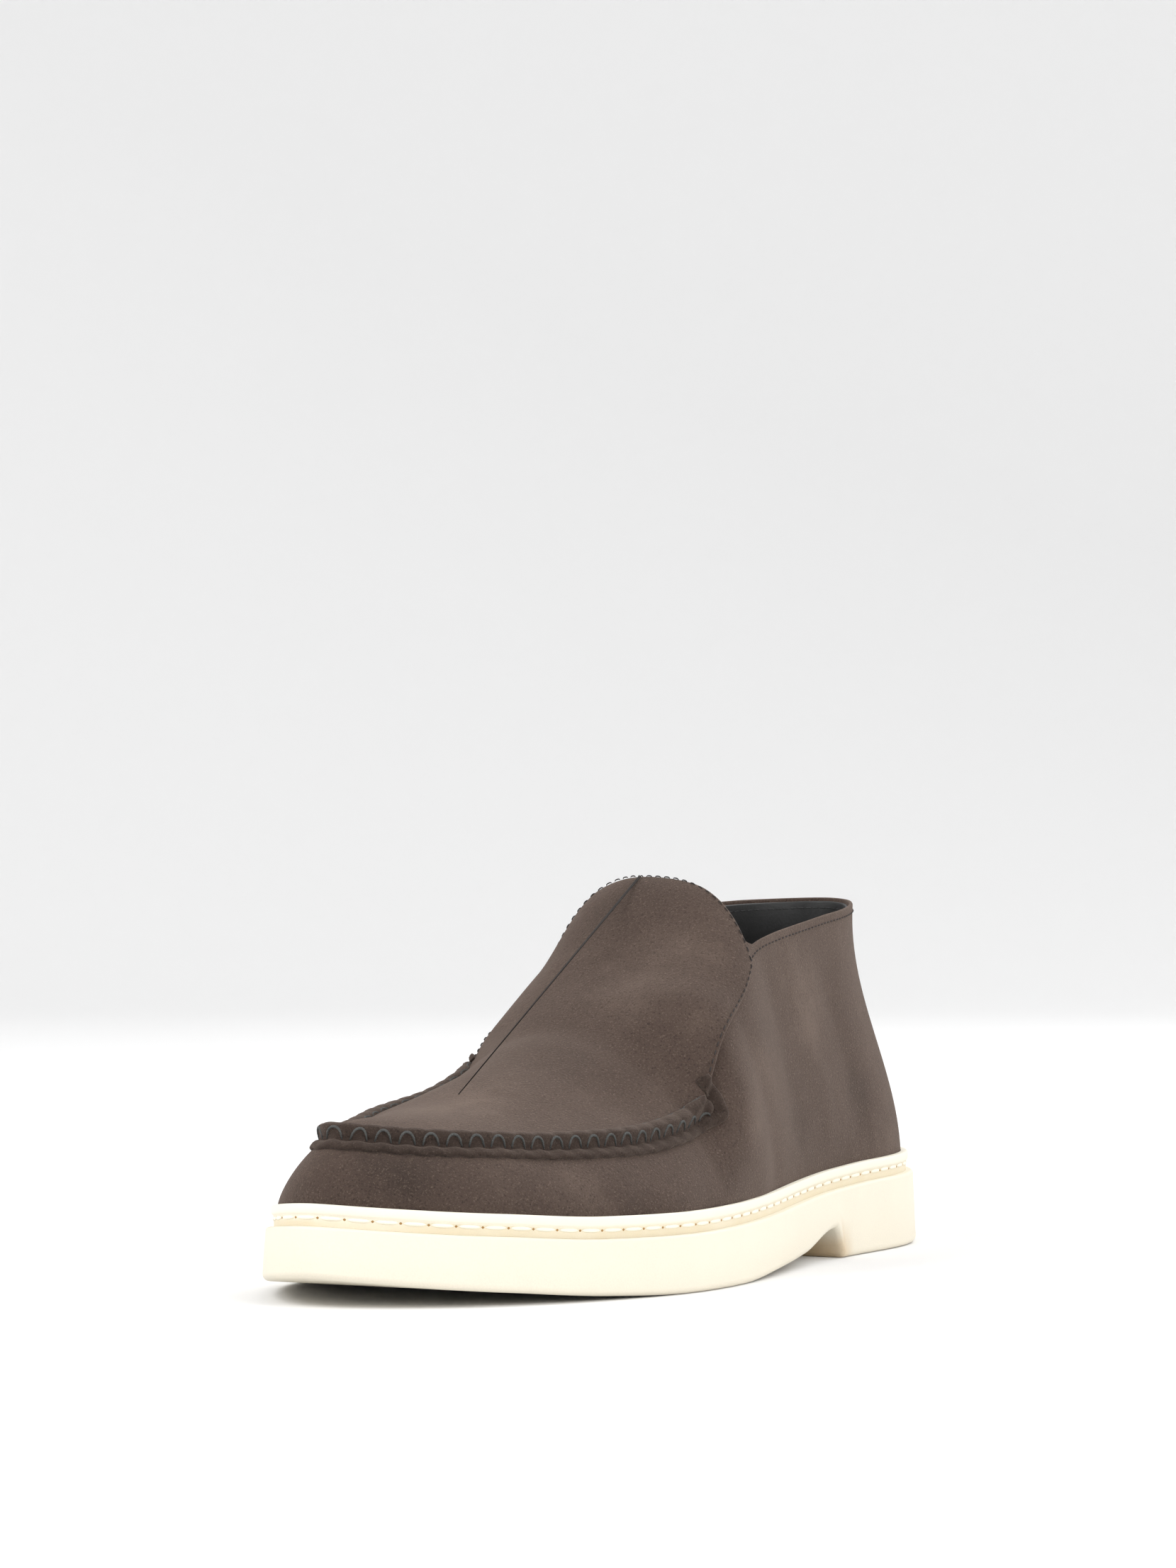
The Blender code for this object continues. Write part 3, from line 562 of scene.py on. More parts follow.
def welded(name, points, faces, sharp=None):
    """A mesh of welded points with its faces pointing out."""
    mesh = bpy.data.meshes.new(name)
    mesh.from_pydata(np.asarray(points).reshape(-1, 3).tolist(), [], faces)
    bm = bmesh.new()
    bm.from_mesh(mesh)
    bmesh.ops.remove_doubles(bm, verts=bm.verts, dist=0.00001)
    bmesh.ops.recalc_face_normals(bm, faces=bm.faces)
    bm.to_mesh(mesh)
    bm.free()
    if sharp:
        mesh.set_sharp_from_angle(angle=math.radians(sharp))
    return mesh


def grid_faces(rows, columns, first=0, close_rows=False, close_columns=False):
    """Quads of a grid of points, which may close on itself either way."""
    faces = []
    for r in range(rows if close_rows else rows - 1):
        n = (r + 1) % rows
        for c in range(columns if close_columns else columns - 1):
            m = (c + 1) % columns
            faces.append([first + r * columns + c, first + r * columns + m,
                          first + n * columns + m, first + n * columns + c])
    return faces


def bridged(ring, columns):
    """Grid of points straight across a ring, from each lateral point to its medial partner."""
    half = len(ring) // 2
    lateral = ring[:half + 1]
    medial = ring[[(len(ring) - k) % len(ring) for k in range(half + 1)]]
    share = np.linspace(0.0, 1.0, columns)[None, :, None]
    return lateral[:, None, :] * (1.0 - share) + medial[:, None, :] * share


def threads(paths, normals, radii, sides=6, flat=1.0):
    """Points and faces of many short threads, one tube along each row of points."""
    count, rings = paths.shape[:2]
    along = np.gradient(paths, axis=1)
    along /= np.linalg.norm(along, axis=-1, keepdims=True)
    side = np.cross(normals, along)
    side /= np.linalg.norm(side, axis=-1, keepdims=True)
    up = np.cross(along, side)
    turn = np.linspace(0.0, 2.0 * math.pi, sides, endpoint=False)[:, None]
    ring = side[:, :, None, :] * np.cos(turn) + up[:, :, None, :] * np.sin(turn) * flat
    points = paths[:, :, None, :] + ring * np.asarray(radii)[None, :, None, None]
    one = grid_faces(rings, sides, close_columns=True)
    one += [list(range(sides))[::-1], [(rings - 1) * sides + k for k in range(sides)]]
    size = rings * sides
    faces = [[k * size + corner for corner in face] for k in range(count) for face in one]
    return points.reshape(-1, 3), faces


class Trail:
    """A line on the last surface, read by the distance along it."""

    def __init__(self, angle, level):
        self.angle = np.asarray(angle, float)
        self.level = np.asarray(level, float)
        points = skin(self.angle, self.level)
        steps = np.linalg.norm(np.diff(points, axis=0), axis=1)
        self.run = np.concatenate([[0.0], np.cumsum(steps)])
        self.length = self.run[-1]

    def at(self, run, height):
        """Point and normal at a distance along the line and a height over the surface."""
        angle = np.interp(run, self.run, self.angle)
        level = np.interp(run, self.run, self.level)
        return formed(angle, level, height), skin_normal(angle, level)


def stitch_row(trail, pitch, share, radius, height):
    """Points and faces of a row of sewn stitches along a trail."""
    count = max(1, int(trail.length / pitch))
    middles = (np.arange(count) + 0.5) * trail.length / count
    t = np.linspace(-1.0, 1.0, 7)
    run = middles[:, None] + t[None, :] * (0.5 * share * pitch)
    lifted = height + radius * (0.9 - 1.7 * t ** 4)
    paths, normals = trail.at(run, np.broadcast_to(lifted, run.shape))
    return threads(paths, normals, radius * (1.0 - 0.45 * t ** 4))


def joined(parts):
    """Points and faces of several meshes put together."""
    points, faces = [], []
    first = 0
    for some_points, some_faces in parts:
        points.append(some_points)
        faces += [[first + corner for corner in face] for face in some_faces]
        first += len(some_points)
    return np.concatenate(points), faces


def thread_piece(name, parts, material):
    """Stitches put together as one piece."""
    points, faces = joined(parts)
    mesh = bpy.data.meshes.new(name)
    mesh.from_pydata(points.tolist(), [], faces)
    return finish_piece(name, mesh, material)


def set_points(mesh, name, values):
    """A number at each point of the mesh, for its material."""
    layer = mesh.attributes.new(name, "FLOAT", "POINT")
    layer.data.foreach_set("value", np.asarray(values, np.float32))


def points_of(mesh):
    """The mesh's points as an array."""
    flat = np.zeros(len(mesh.vertices) * 3, np.float32)
    mesh.vertices.foreach_get("co", flat)
    return flat.reshape(-1, 3).astype(float)


def brush_nap_and_paint_light(mesh):
    """Marks where the nap is brushed lighter or darker, and where light and shade are painted into the
    suede's colour.
    """
    points = points_of(mesh)
    shade = np.zeros(len(points))
    columns = [NAP_AND_LIGHT_PATCHES[key] for key in "side share level radius strength".split()]
    for side, share, level, radius, strength in zip(*columns):
        off = np.linalg.norm(points - place(side, share, level), axis=-1)
        shade += strength * np.exp(-(off / (radius * MM)) ** 2)
    # The attribute carries brushed nap together with painted light and painted shade
    set_points(mesh, "brushed_and_painted_light", shade)


# Shader building

def node(tree, kind, inputs=(), **settings):
    """A shader node with its settings, each input set to a value or linked from a socket."""
    made = tree.nodes.new("ShaderNode" + kind)
    for key, value in settings.items():
        setattr(made, key, value)
    for key, value in dict(inputs).items():
        if isinstance(value, bpy.types.NodeSocket):
            tree.links.new(value, made.inputs[key])
        else:
            made.inputs[key].default_value = value
    return made


def blend(tree, factor, first, second, kind="MIX"):
    """Colour mixed from two."""
    made = node(tree, "Mix", {0: factor, 6: first, 7: second}, data_type="RGBA", blend_type=kind)
    return made.outputs[2]


def sums(tree, operation, first, second=0.0, third=0.0, clamp=False):
    """Result of a Math node."""
    made = node(tree, "Math", {0: first, 1: second, 2: third}, operation=operation, use_clamp=clamp)
    return made.outputs[0]


def spread(tree, value, low, high, to_low=0.0, to_high=1.0):
    """Value spread from one range to another, eased and held at its ends."""
    made = node(tree, "MapRange", {0: value, 1: low, 2: high, 3: to_low, 4: to_high},
                interpolation_type="SMOOTHSTEP")
    return made.outputs[0]


def noise(tree, where, scale, detail=2.0, roughness=0.5, **more):
    """Noise at a scale in cells per metre."""
    return node(tree, "TexNoise", {"Vector": where, "Scale": scale, "Detail": detail, "Roughness": roughness,
                                   **more}).outputs[0]


def new_group(name, inputs, outputs):
    """An empty shader group, its input and output nodes."""
    tree = bpy.data.node_groups.new(name, "ShaderNodeTree")
    for label, kind, value in inputs:
        socket = tree.interface.new_socket(label, in_out="INPUT", socket_type="NodeSocket" + kind)
        socket.default_value = value
    for label, kind in outputs:
        tree.interface.new_socket(label, in_out="OUTPUT", socket_type="NodeSocket" + kind)
    return tree, tree.nodes.new("NodeGroupInput"), tree.nodes.new("NodeGroupOutput")


def nap_group():
    """Suede's nap: cloudy patches, brushed patches that also carry painted light and painted shade, pebbled
    fibres, light hairs and dark pores.
    """
    found = bpy.data.node_groups.get("suede nap")
    if found:
        return found
    tree, given, out = new_group("suede nap", [
        ("Suede", "Color", (0.07, 0.05, 0.04, 1.0)),
        ("Light hairs", "Color", (0.16, 0.12, 0.10, 1.0)),
        ("Dark pores", "Color", (0.02, 0.015, 0.012, 1.0)),
        ("Brushed and painted light", "Float", 0.0),
        ("Cloudiness", "Float", 1.0),
        ("Grain per metre", "Float", 1700.0),
    ], [("Color", "Color"), ("Height", "Float")])
    where = node(tree, "TexCoord").outputs["Object"]
    grain = given.outputs["Grain per metre"]
    clouds = noise(tree, where, 42.0, 5.0, 0.62)
    drift = noise(tree, where, 150.0, 3.0, 0.6)
    pebbles = noise(tree, where, grain, 3.0, 0.68)
    combed = node(tree, "Mapping", {"Vector": where, "Rotation": (0.5, 0.9, 0.4), "Scale": (1.0, 0.35, 1.0)})
    fibres = noise(tree, combed.outputs[0], sums(tree, "MULTIPLY", grain, 1.8), 2.0, 0.7)

    cloudy = sums(tree, "MULTIPLY", sums(tree, "SUBTRACT", clouds, 0.5), 1.9)
    drifting = sums(tree, "MULTIPLY", sums(tree, "SUBTRACT", drift, 0.5), 0.9)
    mottle = sums(tree, "MULTIPLY", sums(tree, "ADD", cloudy, drifting), given.outputs["Cloudiness"])
    # The brushed patches add painted light and painted shade to the random mottling
    shade = sums(tree, "ADD", mottle, given.outputs["Brushed and painted light"])
    lighter = spread(tree, shade, -0.1, 1.5)
    darker = spread(tree, shade, 0.1, -1.4)
    body = blend(tree, sums(tree, "MULTIPLY", lighter, 0.55), given.outputs["Suede"],
                 given.outputs["Light hairs"])
    body = blend(tree, sums(tree, "MULTIPLY", darker, 0.60), body, given.outputs["Dark pores"])
    pores = spread(tree, pebbles, 0.47, 0.30, 0.0, 0.75)
    body = blend(tree, pores, body, given.outputs["Dark pores"])
    raised = sums(tree, "ADD", fibres, sums(tree, "MULTIPLY", pebbles, 0.6))
    hairs = spread(tree, raised, 0.84, 1.08, 0.0, 0.62)
    body = blend(tree, hairs, body, given.outputs["Light hairs"])
    height = sums(tree, "MULTIPLY_ADD", fibres, 0.6, pebbles)
    height = sums(tree, "MULTIPLY_ADD", drift, 0.8, height)
    tree.links.new(body, out.inputs["Color"])
    tree.links.new(height, out.inputs["Height"])
    return tree


def grain_group():
    """Fine grain of rubber or leather: a speckle in the colour, a pebbled height, and a second colour by a
    mask that paints shade on the sole and welt.
    """
    found = bpy.data.node_groups.get("fine grain")
    if found:
        return found
    tree, given, out = new_group("fine grain", [
        ("Colour", "Color", (0.8, 0.7, 0.6, 1.0)),
        ("Wear and shade colour", "Color", (0.7, 0.6, 0.4, 1.0)),
        ("Wear and shade", "Float", 0.0),
        ("Speckle", "Float", 0.1),
        ("Grain per metre", "Float", 2500.0),
    ], [("Color", "Color"), ("Height", "Float"), ("Roughness", "Float")])
    where = node(tree, "TexCoord").outputs["Object"]
    fine = noise(tree, where, given.outputs["Grain per metre"], 3.0, 0.6)
    wide = noise(tree, where, 60.0, 3.0, 0.55)
    # A second colour by the wear-and-shade mask: painted shade on the sole's breast, arch and welt band
    wear_and_shade = sums(tree, "MULTIPLY", given.outputs["Wear and shade"], spread(tree, wide, 0.2, 0.7, 0.6, 1.1))
    colour = blend(tree, wear_and_shade, given.outputs["Colour"], given.outputs["Wear and shade colour"])
    swing = sums(tree, "MULTIPLY", sums(tree, "SUBTRACT", fine, 0.5), given.outputs["Speckle"])
    swing = sums(tree, "ADD", swing, sums(tree, "MULTIPLY", sums(tree, "SUBTRACT", wide, 0.5), 0.05))
    bright = node(tree, "HueSaturation", {"Value": sums(tree, "ADD", 1.0, swing), "Color": colour})
    tree.links.new(bright.outputs[0], out.inputs["Color"])
    tree.links.new(fine, out.inputs["Height"])
    tree.links.new(spread(tree, fine, 0.3, 0.7, 0.48, 0.66), out.inputs["Roughness"])
    return tree


def new_material(name):
    """An empty material: its tree and its shader."""
    material = bpy.data.materials.new(name)
    material.use_nodes = True
    tree = material.node_tree
    return material, tree, tree.nodes["Principled BSDF"]


def grouped(tree, group, inputs):
    """A group placed in a material with its own values."""
    made = tree.nodes.new("ShaderNodeGroup")
    made.node_tree = group
    for key, value in inputs.items():
        if isinstance(value, bpy.types.NodeSocket):
            tree.links.new(value, made.inputs[key])
        else:
            made.inputs[key].default_value = value
    return made


def bumped(tree, shader, height, strength, distance):
    """Height as bump on the shader."""
    made = node(tree, "Bump", {"Strength": strength, "Distance": distance, "Height": height})
    tree.links.new(made.outputs[0], shader.inputs["Normal"])


def opaque(colour, gain=1.0):
    """Colour with an alpha, made brighter or darker."""
    return (colour[0] * gain, colour[1] * gain, colour[2] * gain, 1.0)


def suede_material(name, finish, gain=1.0, cloudiness=1.0):
    """Suede in the finish's colours, darker or lighter by the gain."""
    material, tree, shader = new_material(name)
    # Brushed nap with painted light and painted shade, from a point attribute
    brushed_and_painted_light = node(tree, "Attribute", attribute_name="brushed_and_painted_light").outputs["Fac"]
    nap = grouped(tree, nap_group(), {
        "Suede": opaque(finish.suede, gain),
        "Light hairs": opaque(finish.light_hairs, gain),
        "Dark pores": opaque(finish.dark_pores, gain),
        "Brushed and painted light": brushed_and_painted_light,
        "Cloudiness": cloudiness,
        "Grain per metre": 1.0 / finish.nap_grain,
    })
    tree.links.new(nap.outputs["Color"], shader.inputs["Base Color"])
    shader.inputs["Roughness"].default_value = 0.95
    shader.inputs["Specular IOR Level"].default_value = 0.12
    shader.inputs["Sheen Weight"].default_value = 0.28
    shader.inputs["Sheen Roughness"].default_value = 0.55
    shader.inputs["Sheen Tint"].default_value = (0.62, 0.50, 0.43, 1.0)
    bumped(tree, shader, nap.outputs["Height"], 0.55, 0.0004)
    return material


def grained_material(name, colour, wear_and_shade_colour, speckle, grain, roughness, bump, wear_and_shade_attribute=None):
    """Rubber or leather with a fine grain, and a second colour of painted shade where a point attribute asks
    for it.
    """
    material, tree, shader = new_material(name)
    wear_and_shade = 0.0
    if wear_and_shade_attribute:
        wear_and_shade = node(tree, "Attribute", attribute_name=wear_and_shade_attribute).outputs["Fac"]
    made = grouped(tree, grain_group(), {
        "Colour": opaque(colour),
        "Wear and shade colour": opaque(wear_and_shade_colour),
        "Wear and shade": wear_and_shade,
        "Speckle": speckle,
        "Grain per metre": grain,
    })
    tree.links.new(made.outputs["Color"], shader.inputs["Base Color"])
    if roughness is None:
        tree.links.new(made.outputs["Roughness"], shader.inputs["Roughness"])
    else:
        shader.inputs["Roughness"].default_value = roughness
    bumped(tree, shader, made.outputs["Height"], bump, 0.0002)
    return material


def thread_material(name, colour):
    """Matt sewing thread."""
    material, tree, shader = new_material(name)
    where = node(tree, "TexCoord").outputs["Object"]
    twist = noise(tree, where, 3800.0, 2.0, 0.6)
    shade = blend(tree, spread(tree, twist, 0.3, 0.7), opaque(colour, 0.6), opaque(colour, 1.5))
    tree.links.new(shade, shader.inputs["Base Color"])
    shader.inputs["Roughness"].default_value = 0.75
    bumped(tree, shader, twist, 0.5, 0.0002)
    return material


def material_of(name, make, *values):
    """A material by name, made once."""
    return bpy.data.materials.get(name) or make(name, *values)


# Sole

def tread(x, y, border):
    """Depth of the sole's rippled tread at a point of its underside."""
    share = 0.5 - y / SOLE_LENGTH
    zigzag = np.abs((x / 0.011) % 1.0 - 0.5) * 2.0
    wave = ((y + 0.0035 * zigzag) / 0.0072) % 1.0
    groove = smooth((0.24 - np.abs(wave - 0.5)) / 0.12)
    heel = smooth((share - 0.030) / 0.006) * smooth((BREAST_REAR - 0.026 - share) / 0.006)
    forepart = smooth((share - 0.470) / 0.01) * smooth((0.955 - share) / 0.01)
    return groove * (heel + forepart) * smooth((border - TREAD_BORDER) / 0.0012)


def build_outsole(sole):
    """Sole block with its rounded edges and a rippled tread underneath."""
    stations = ring_angles(760)
    under = under_height(stations)
    ledge = ledge_height(stations)
    side = ledge - under
    corner = SOLE_EDGE_ROUND
    turn = np.linspace(0.0, 0.5 * math.pi, 6)
    loops = [lift(outline(stations, corner * (1.0 - math.sin(t))), under + corner * (1.0 - math.cos(t)))
             for t in turn]
    loops += [lift(outline(stations, 0.5 * SOLE_SIDE_DRAFT), under + 0.55 * side)]
    loops += [lift(outline(stations, SOLE_SIDE_DRAFT + LEDGE_ROUND * (1.0 - math.cos(t))),
                   ledge - LEDGE_ROUND * (1.0 - math.sin(t))) for t in turn]
    loops += [lift(outline(stations, BAND_STEP + 0.001), ledge)]
    count = len(stations)
    parts = [(np.concatenate(loops), grid_faces(len(loops), count, close_columns=True))]

    columns = 112
    below = bridged(loops[0], columns)
    across = np.linalg.norm(below[:, 0] - below[:, -1], axis=-1)[:, None]
    share = np.linspace(0.0, 1.0, columns)[None, :]
    border = np.minimum(share, 1.0 - share) * across
    below[:, :, 2] += sole.tread_depth * tread(below[:, :, 0], below[:, :, 1], border)
    parts.append((below.reshape(-1, 3), grid_faces(len(below), columns)))
    above = bridged(loops[-1], 6)
    parts.append((above.reshape(-1, 3), grid_faces(len(above), 6)))
    mesh = welded("sole_block", *joined(parts))

    points = points_of(mesh)
    # Painted shade: a warm honey tint where shade and warm bounce light fall, in the heel's breast and low
    # along the arch
    share = 0.5 - points[:, 1] / SOLE_LENGTH
    breast = smooth(1.0 - np.abs(share - 0.5 * (BREAST_REAR + BREAST_FRONT)) / 0.035)
    low = smooth((0.0085 - points[:, 2]) / 0.006)
    arch = smooth((share - ARCH_START) / 0.01) * smooth((ARCH_END - share) / 0.2)
    arch = arch * smooth((HONEY_SHADE_HEIGHT - points[:, 2]) / HONEY_SHADE_HEIGHT)
    set_points(mesh, "gum", np.clip(0.75 * breast * low + 0.25 * arch, 0.0, 1.0))
    material = material_of("cream rubber", grained_material, sole.rubber, sole.gum, 0.16, RUBBER_GRAIN, None,
                           0.22, "gum")
    finish_piece("sole_block", mesh, material, ["outsole"])


def build_welt(sole):
    """Recessed band with a rounded bead over it."""
    stations = ring_angles(960)
    base = ledge_height(stations) + 0.00002
    radius = 0.5 * (WELT_HEIGHT - BAND_HEIGHT)
    middle = base + BAND_HEIGHT + radius

    def outer(step_in, height):
        return lift(outline(stations, step_in), height)

    loops = [outer(FEATHER_STEP, base), outer(BAND_STEP, base), outer(BAND_STEP, base + 0.3 * BAND_HEIGHT)]
    loops += [outer(BAND_STEP, base + BAND_HEIGHT - 0.3 * radius)]
    loops += [outer(BAND_STEP - 0.0001, base + BAND_HEIGHT - 0.08 * radius)]
    for t in np.linspace(-1.45, 1.45, 11):
        step_in = BEAD_STEP + 0.42 * radius * (1.0 - math.cos(t) ** 0.8)
        loops.append(outer(step_in, middle + 0.96 * radius * math.sin(t)))
    top = level_at_height(stations, WELT_HEIGHT - 0.0004)
    loops.append(skin(stations, top) + skin_normal(stations, top) * 0.0001)
    loops.append(skin(stations, top * 0.6) - skin_normal(stations, top) * 0.0002)
    faces = grid_faces(len(loops), len(stations), close_rows=True, close_columns=True)
    mesh = welded("welt_band", np.concatenate(loops), faces, 50.0)
    # Painted shade: the recessed band under the bead is given a darker, warmer colour
    height = points_of(mesh)[:, 2]
    turned = np.linspace(math.pi, 0.0, 400)
    angle_of = np.interp(points_of(mesh)[:, 1], SOLE_LENGTH * (0.5 - angle_share(turned)), turned)
    over = height - ledge_height(angle_of)
    set_points(mesh, "band", smooth((BAND_HEIGHT + 0.0001 - over) / 0.0004))
    material = material_of("welt rubber", grained_material, sole.bead, sole.band, 0.10, RUBBER_GRAIN, None,
                           0.18, "band")
    finish_piece("welt_band", mesh, material, ["welt"])


def build_welt_stitches(sole):
    """Raised mock stitches on the band, with a dark disc of painted shade at each joint where its hole is.
    """
    angles = np.linspace(0.0, 2.0 * math.pi, 2400)
    plan = outline(angles, BAND_STEP)
    run = np.concatenate([[0.0], np.cumsum(np.linalg.norm(np.diff(plan, axis=0), axis=1))])
    count = round(run[-1] / sole.welt_pitch)
    pitch = run[-1] / count
    joints = (np.arange(count) + sole.welt_phase) * pitch
    level = BAND_HEIGHT - 0.00078

    def on_band(distance, step_in, over):
        angle = np.interp(distance % run[-1], run, angles)
        outward = lift(outline(angle, 0.0) - outline(angle, 0.001), 0.0)
        return lift(outline(angle, step_in), ledge_height(angle) + over), outward * 1000.0

    t = np.linspace(-1.0, 1.0, 11)
    middles = joints[:, None] + 0.5 * pitch
    uneven = level + 0.00006 * np.cos(9.0 * middles)
    paths, normals = on_band(middles + t * 0.41 * pitch, BAND_STEP - 0.00002, uneven)
    fullness = 0.00050 * (1.0 - np.abs(t) ** 2.6) ** 0.55 + 0.00006
    raised = threads(paths, normals, fullness, sides=8, flat=0.62)
    material = material_of("welt stitch rubber", grained_material, sole.stitch, sole.band, 0.2, STITCH_GRAIN,
                           0.6, 0.3)
    thread_piece("welt_stitches", [raised], material)

    # Painted shade: flat dark amber discs stand in for the shade in each stitch hole
    t = np.linspace(-1.0, 1.0, 5)
    paths, normals = on_band(joints[:, None] + t * 0.0004, BAND_STEP - 0.00001, level - 0.0001)
    hole_shade_dots = threads(paths, normals, 0.00034 * (1.0 - 0.9 * t ** 2), sides=8, flat=0.18)
    material = material_of("welt hole rubber", grained_material, sole.hole, sole.band, 0.2, STITCH_GRAIN,
                           0.8, 0.2)
    thread_piece("welt_hole_shades", [hole_shade_dots], material)


def build_insole(lining):
    """Footbed in black leather with a soft edge and a shallow dish."""
    stations = ring_angles(240)
    base = ledge_height(stations) + CLEARANCE
    loops = []
    for height, step_in in ((0.0, 0.0), (0.0036, 0.0), (0.0042, 0.00025), (0.0045, 0.0008)):
        level = level_at_height(stations, height)
        reach = -(UPPER_WALL + CLEARANCE + step_in)
        ring = skin(stations, level) + skin_normal(stations, level) * reach
        loops.append(lift(ring[:, :2], base + height))
    parts = [(np.concatenate(loops), grid_faces(len(loops), len(stations), close_columns=True))]
    columns = 40
    top = bridged(loops[-1], columns)
    share = np.linspace(-1.0, 1.0, columns)[None, :]
    along = np.sin(np.linspace(0.0, math.pi, len(top)))[:, None] ** 0.5
    top[:, :, 2] -= 0.0012 * (1.0 - share ** 2) ** 1.5 * along
    parts.append((top.reshape(-1, 3), grid_faces(len(top), columns)))
    floor = bridged(loops[0], 4)
    parts.append((floor.reshape(-1, 3), grid_faces(len(floor), 4)))
    mesh = welded("insole_bed", *joined(parts))
    finish_piece("insole_bed", mesh, lining_leather(lining), ["insole"])


def lining_leather(lining):
    """The black lining leather."""
    return material_of("lining leather", grained_material, lining.leather, lining.leather_worn, 0.5,
                       LINING_GRAIN, 0.5, 0.35)


# Upper

def brown_suede(finish):
    """The suede of the upper, apron and heel stay."""
    return material_of("brown suede", suede_material, finish)


def shaded_seam_suede(finish):
    """The same suede, darker as painted shade over the seam's roll and lip, and less clouded."""
    return material_of("seam suede", suede_material, finish, 0.62, 0.7)


def rim_faces(rows, columns, ends):
    """Quads that join a plate's outer and inner grids: down both sides and along the given rows."""
    size = rows * columns
    faces = []
    for r in range(rows - 1):
        for c in (0, columns - 1):
            near = r * columns + c
            far = near + columns
            faces.append([near, far, size + far, size + near])
    for r in ends:
        for c in range(columns - 1):
            near = r * columns + c
            faces.append([near, near + 1, size + near + 1, size + near])
    return faces


def wall_loops(stations, top, outside, inside, rows, inner_rows, foot=0.0):
    """Loops of a wall between two depths under the last surface, with a rounded rim."""
    loops = []
    for share_value in np.linspace(0.0, 1.0, rows):
        level = foot + (top - foot) * share_value
        sunk = CLEARANCE * np.clip((level - 1.0) / LEVEL_STEP, 0.0, 1.0)
        loops.append(formed(stations, level, -outside - sunk))
    outer_end = loops[-1]
    sunk = CLEARANCE * np.clip((top - 1.0) / LEVEL_STEP, 0.0, 1.0)
    inner_end = formed(stations, top, -inside - sunk)
    upward = loops[-1] - loops[-2]
    upward /= np.linalg.norm(upward, axis=-1, keepdims=True)
    middle = 0.5 * (outer_end + inner_end)
    half = 0.5 * (outer_end - inner_end)
    for turn in (0.3, 0.6, 0.9, 1.2, 1.57, 1.94, 2.24, 2.54, 2.84):
        rise = 0.5 * (inside - outside) * math.sin(turn)
        loops.append(middle + half * math.cos(turn) + upward * rise)
    for share_value in np.linspace(1.0, 0.0, inner_rows):
        level = foot + (top - foot) * share_value
        sunk = CLEARANCE * np.clip((level - 1.0) / LEVEL_STEP, 0.0, 1.0)
        loops.append(formed(stations, level, -inside - sunk))
    return loops


def build_upper(finish):
    """Suede wall from the feather line to the folded collar, run on under the apron and tongue."""
    stations = ring_angles(520)
    foot = level_at_height(stations, 0.0030)
    loops = wall_loops(stations, wall_top(stations), 0.0, SUEDE_WALL, 76, 16, foot)
    faces = grid_faces(len(loops), len(stations), close_rows=True, close_columns=True)
    mesh = welded("upper_suede", np.concatenate(loops), faces)
    brush_nap_and_paint_light(mesh)
    finish_piece("upper_suede", mesh, brown_suede(finish), ["upper"])


def build_lining(lining):
    """Black leather lining inside the upper, a little lower than the collar."""
    stations = ring_angles(420)
    top = wall_top(stations) - level_drop(stations, 0.0009)
    loops = wall_loops(stations, top, SUEDE_WALL + 0.00003, UPPER_WALL, 24, 44, 0.01)
    faces = grid_faces(len(loops), len(stations), close_rows=True, close_columns=True)
    mesh = welded("upper_lining", np.concatenate(loops), faces)
    finish_piece("upper_lining", mesh, lining_leather(lining))


def level_drop(stations, distance):
    """How much the level falls over a small distance down the wall."""
    return distance / (3.0 * WALL_HANDLE * edge_up(stations))


def tongue_end(level):
    """Share at which the tongue ends: straight over the top, rounded into its edge at each ear."""
    corner = np.clip(1.0 - (level - 1.0) / EAR_REACH, 0.0, 1.0)
    return TONGUE_TOP + EAR_CUT * corner ** EAR_POWER


def apron_grid(rows, columns):
    """Ring angles and levels over the apron and tongue, closer together at its edges."""
    near = np.array([0.0, 0.15, 0.35, 0.7, 1.2, 2.0, 3.0]) * MM
    first = level_from_edge(1.7, near)
    half = first[-1] + (2.0 - first[-1]) * np.linspace(0.0, 1.0, columns) ** 1.1
    levels = np.concatenate([first[:-1], half])
    across = np.concatenate([levels, levels[-2::-1]])
    medial = np.arange(len(across)) >= len(levels)
    end = tongue_end(across)
    starts = share_angle(end[None, :] + near[:-1, None] / SOLE_LENGTH)
    start = share_angle(end + near[-1] / SOLE_LENGTH)
    share = np.linspace(0.0, 1.0, rows)[:, None]
    angle = np.concatenate([starts, start[None, :] + (math.pi - start[None, :]) * share])
    level = np.broadcast_to(across[None, :], angle.shape)
    side_near = (level - 1.0) * 0.055
    side_near = np.minimum(side_near, np.linalg.norm(skin(angle, level) - skin(angle, 1.0), axis=-1))
    end_near = (angle_share(angle) - end[None, :]) * SOLE_LENGTH * 1.3
    return np.where(medial[None, :], 2.0 * math.pi - angle, angle), level, np.minimum(side_near, end_near)


def eased_crest(points, level):
    """Points of the apron with the crease along its crest rounded off."""
    share = (0.5 * smooth((level - 1.55) / 0.25))[..., None]
    for _ in range(60):
        middle = 0.5 * (points[:, :-2] + points[:, 2:])
        points[:, 1:-1] += (middle - points[:, 1:-1]) * share[:, 1:-1]
    return points


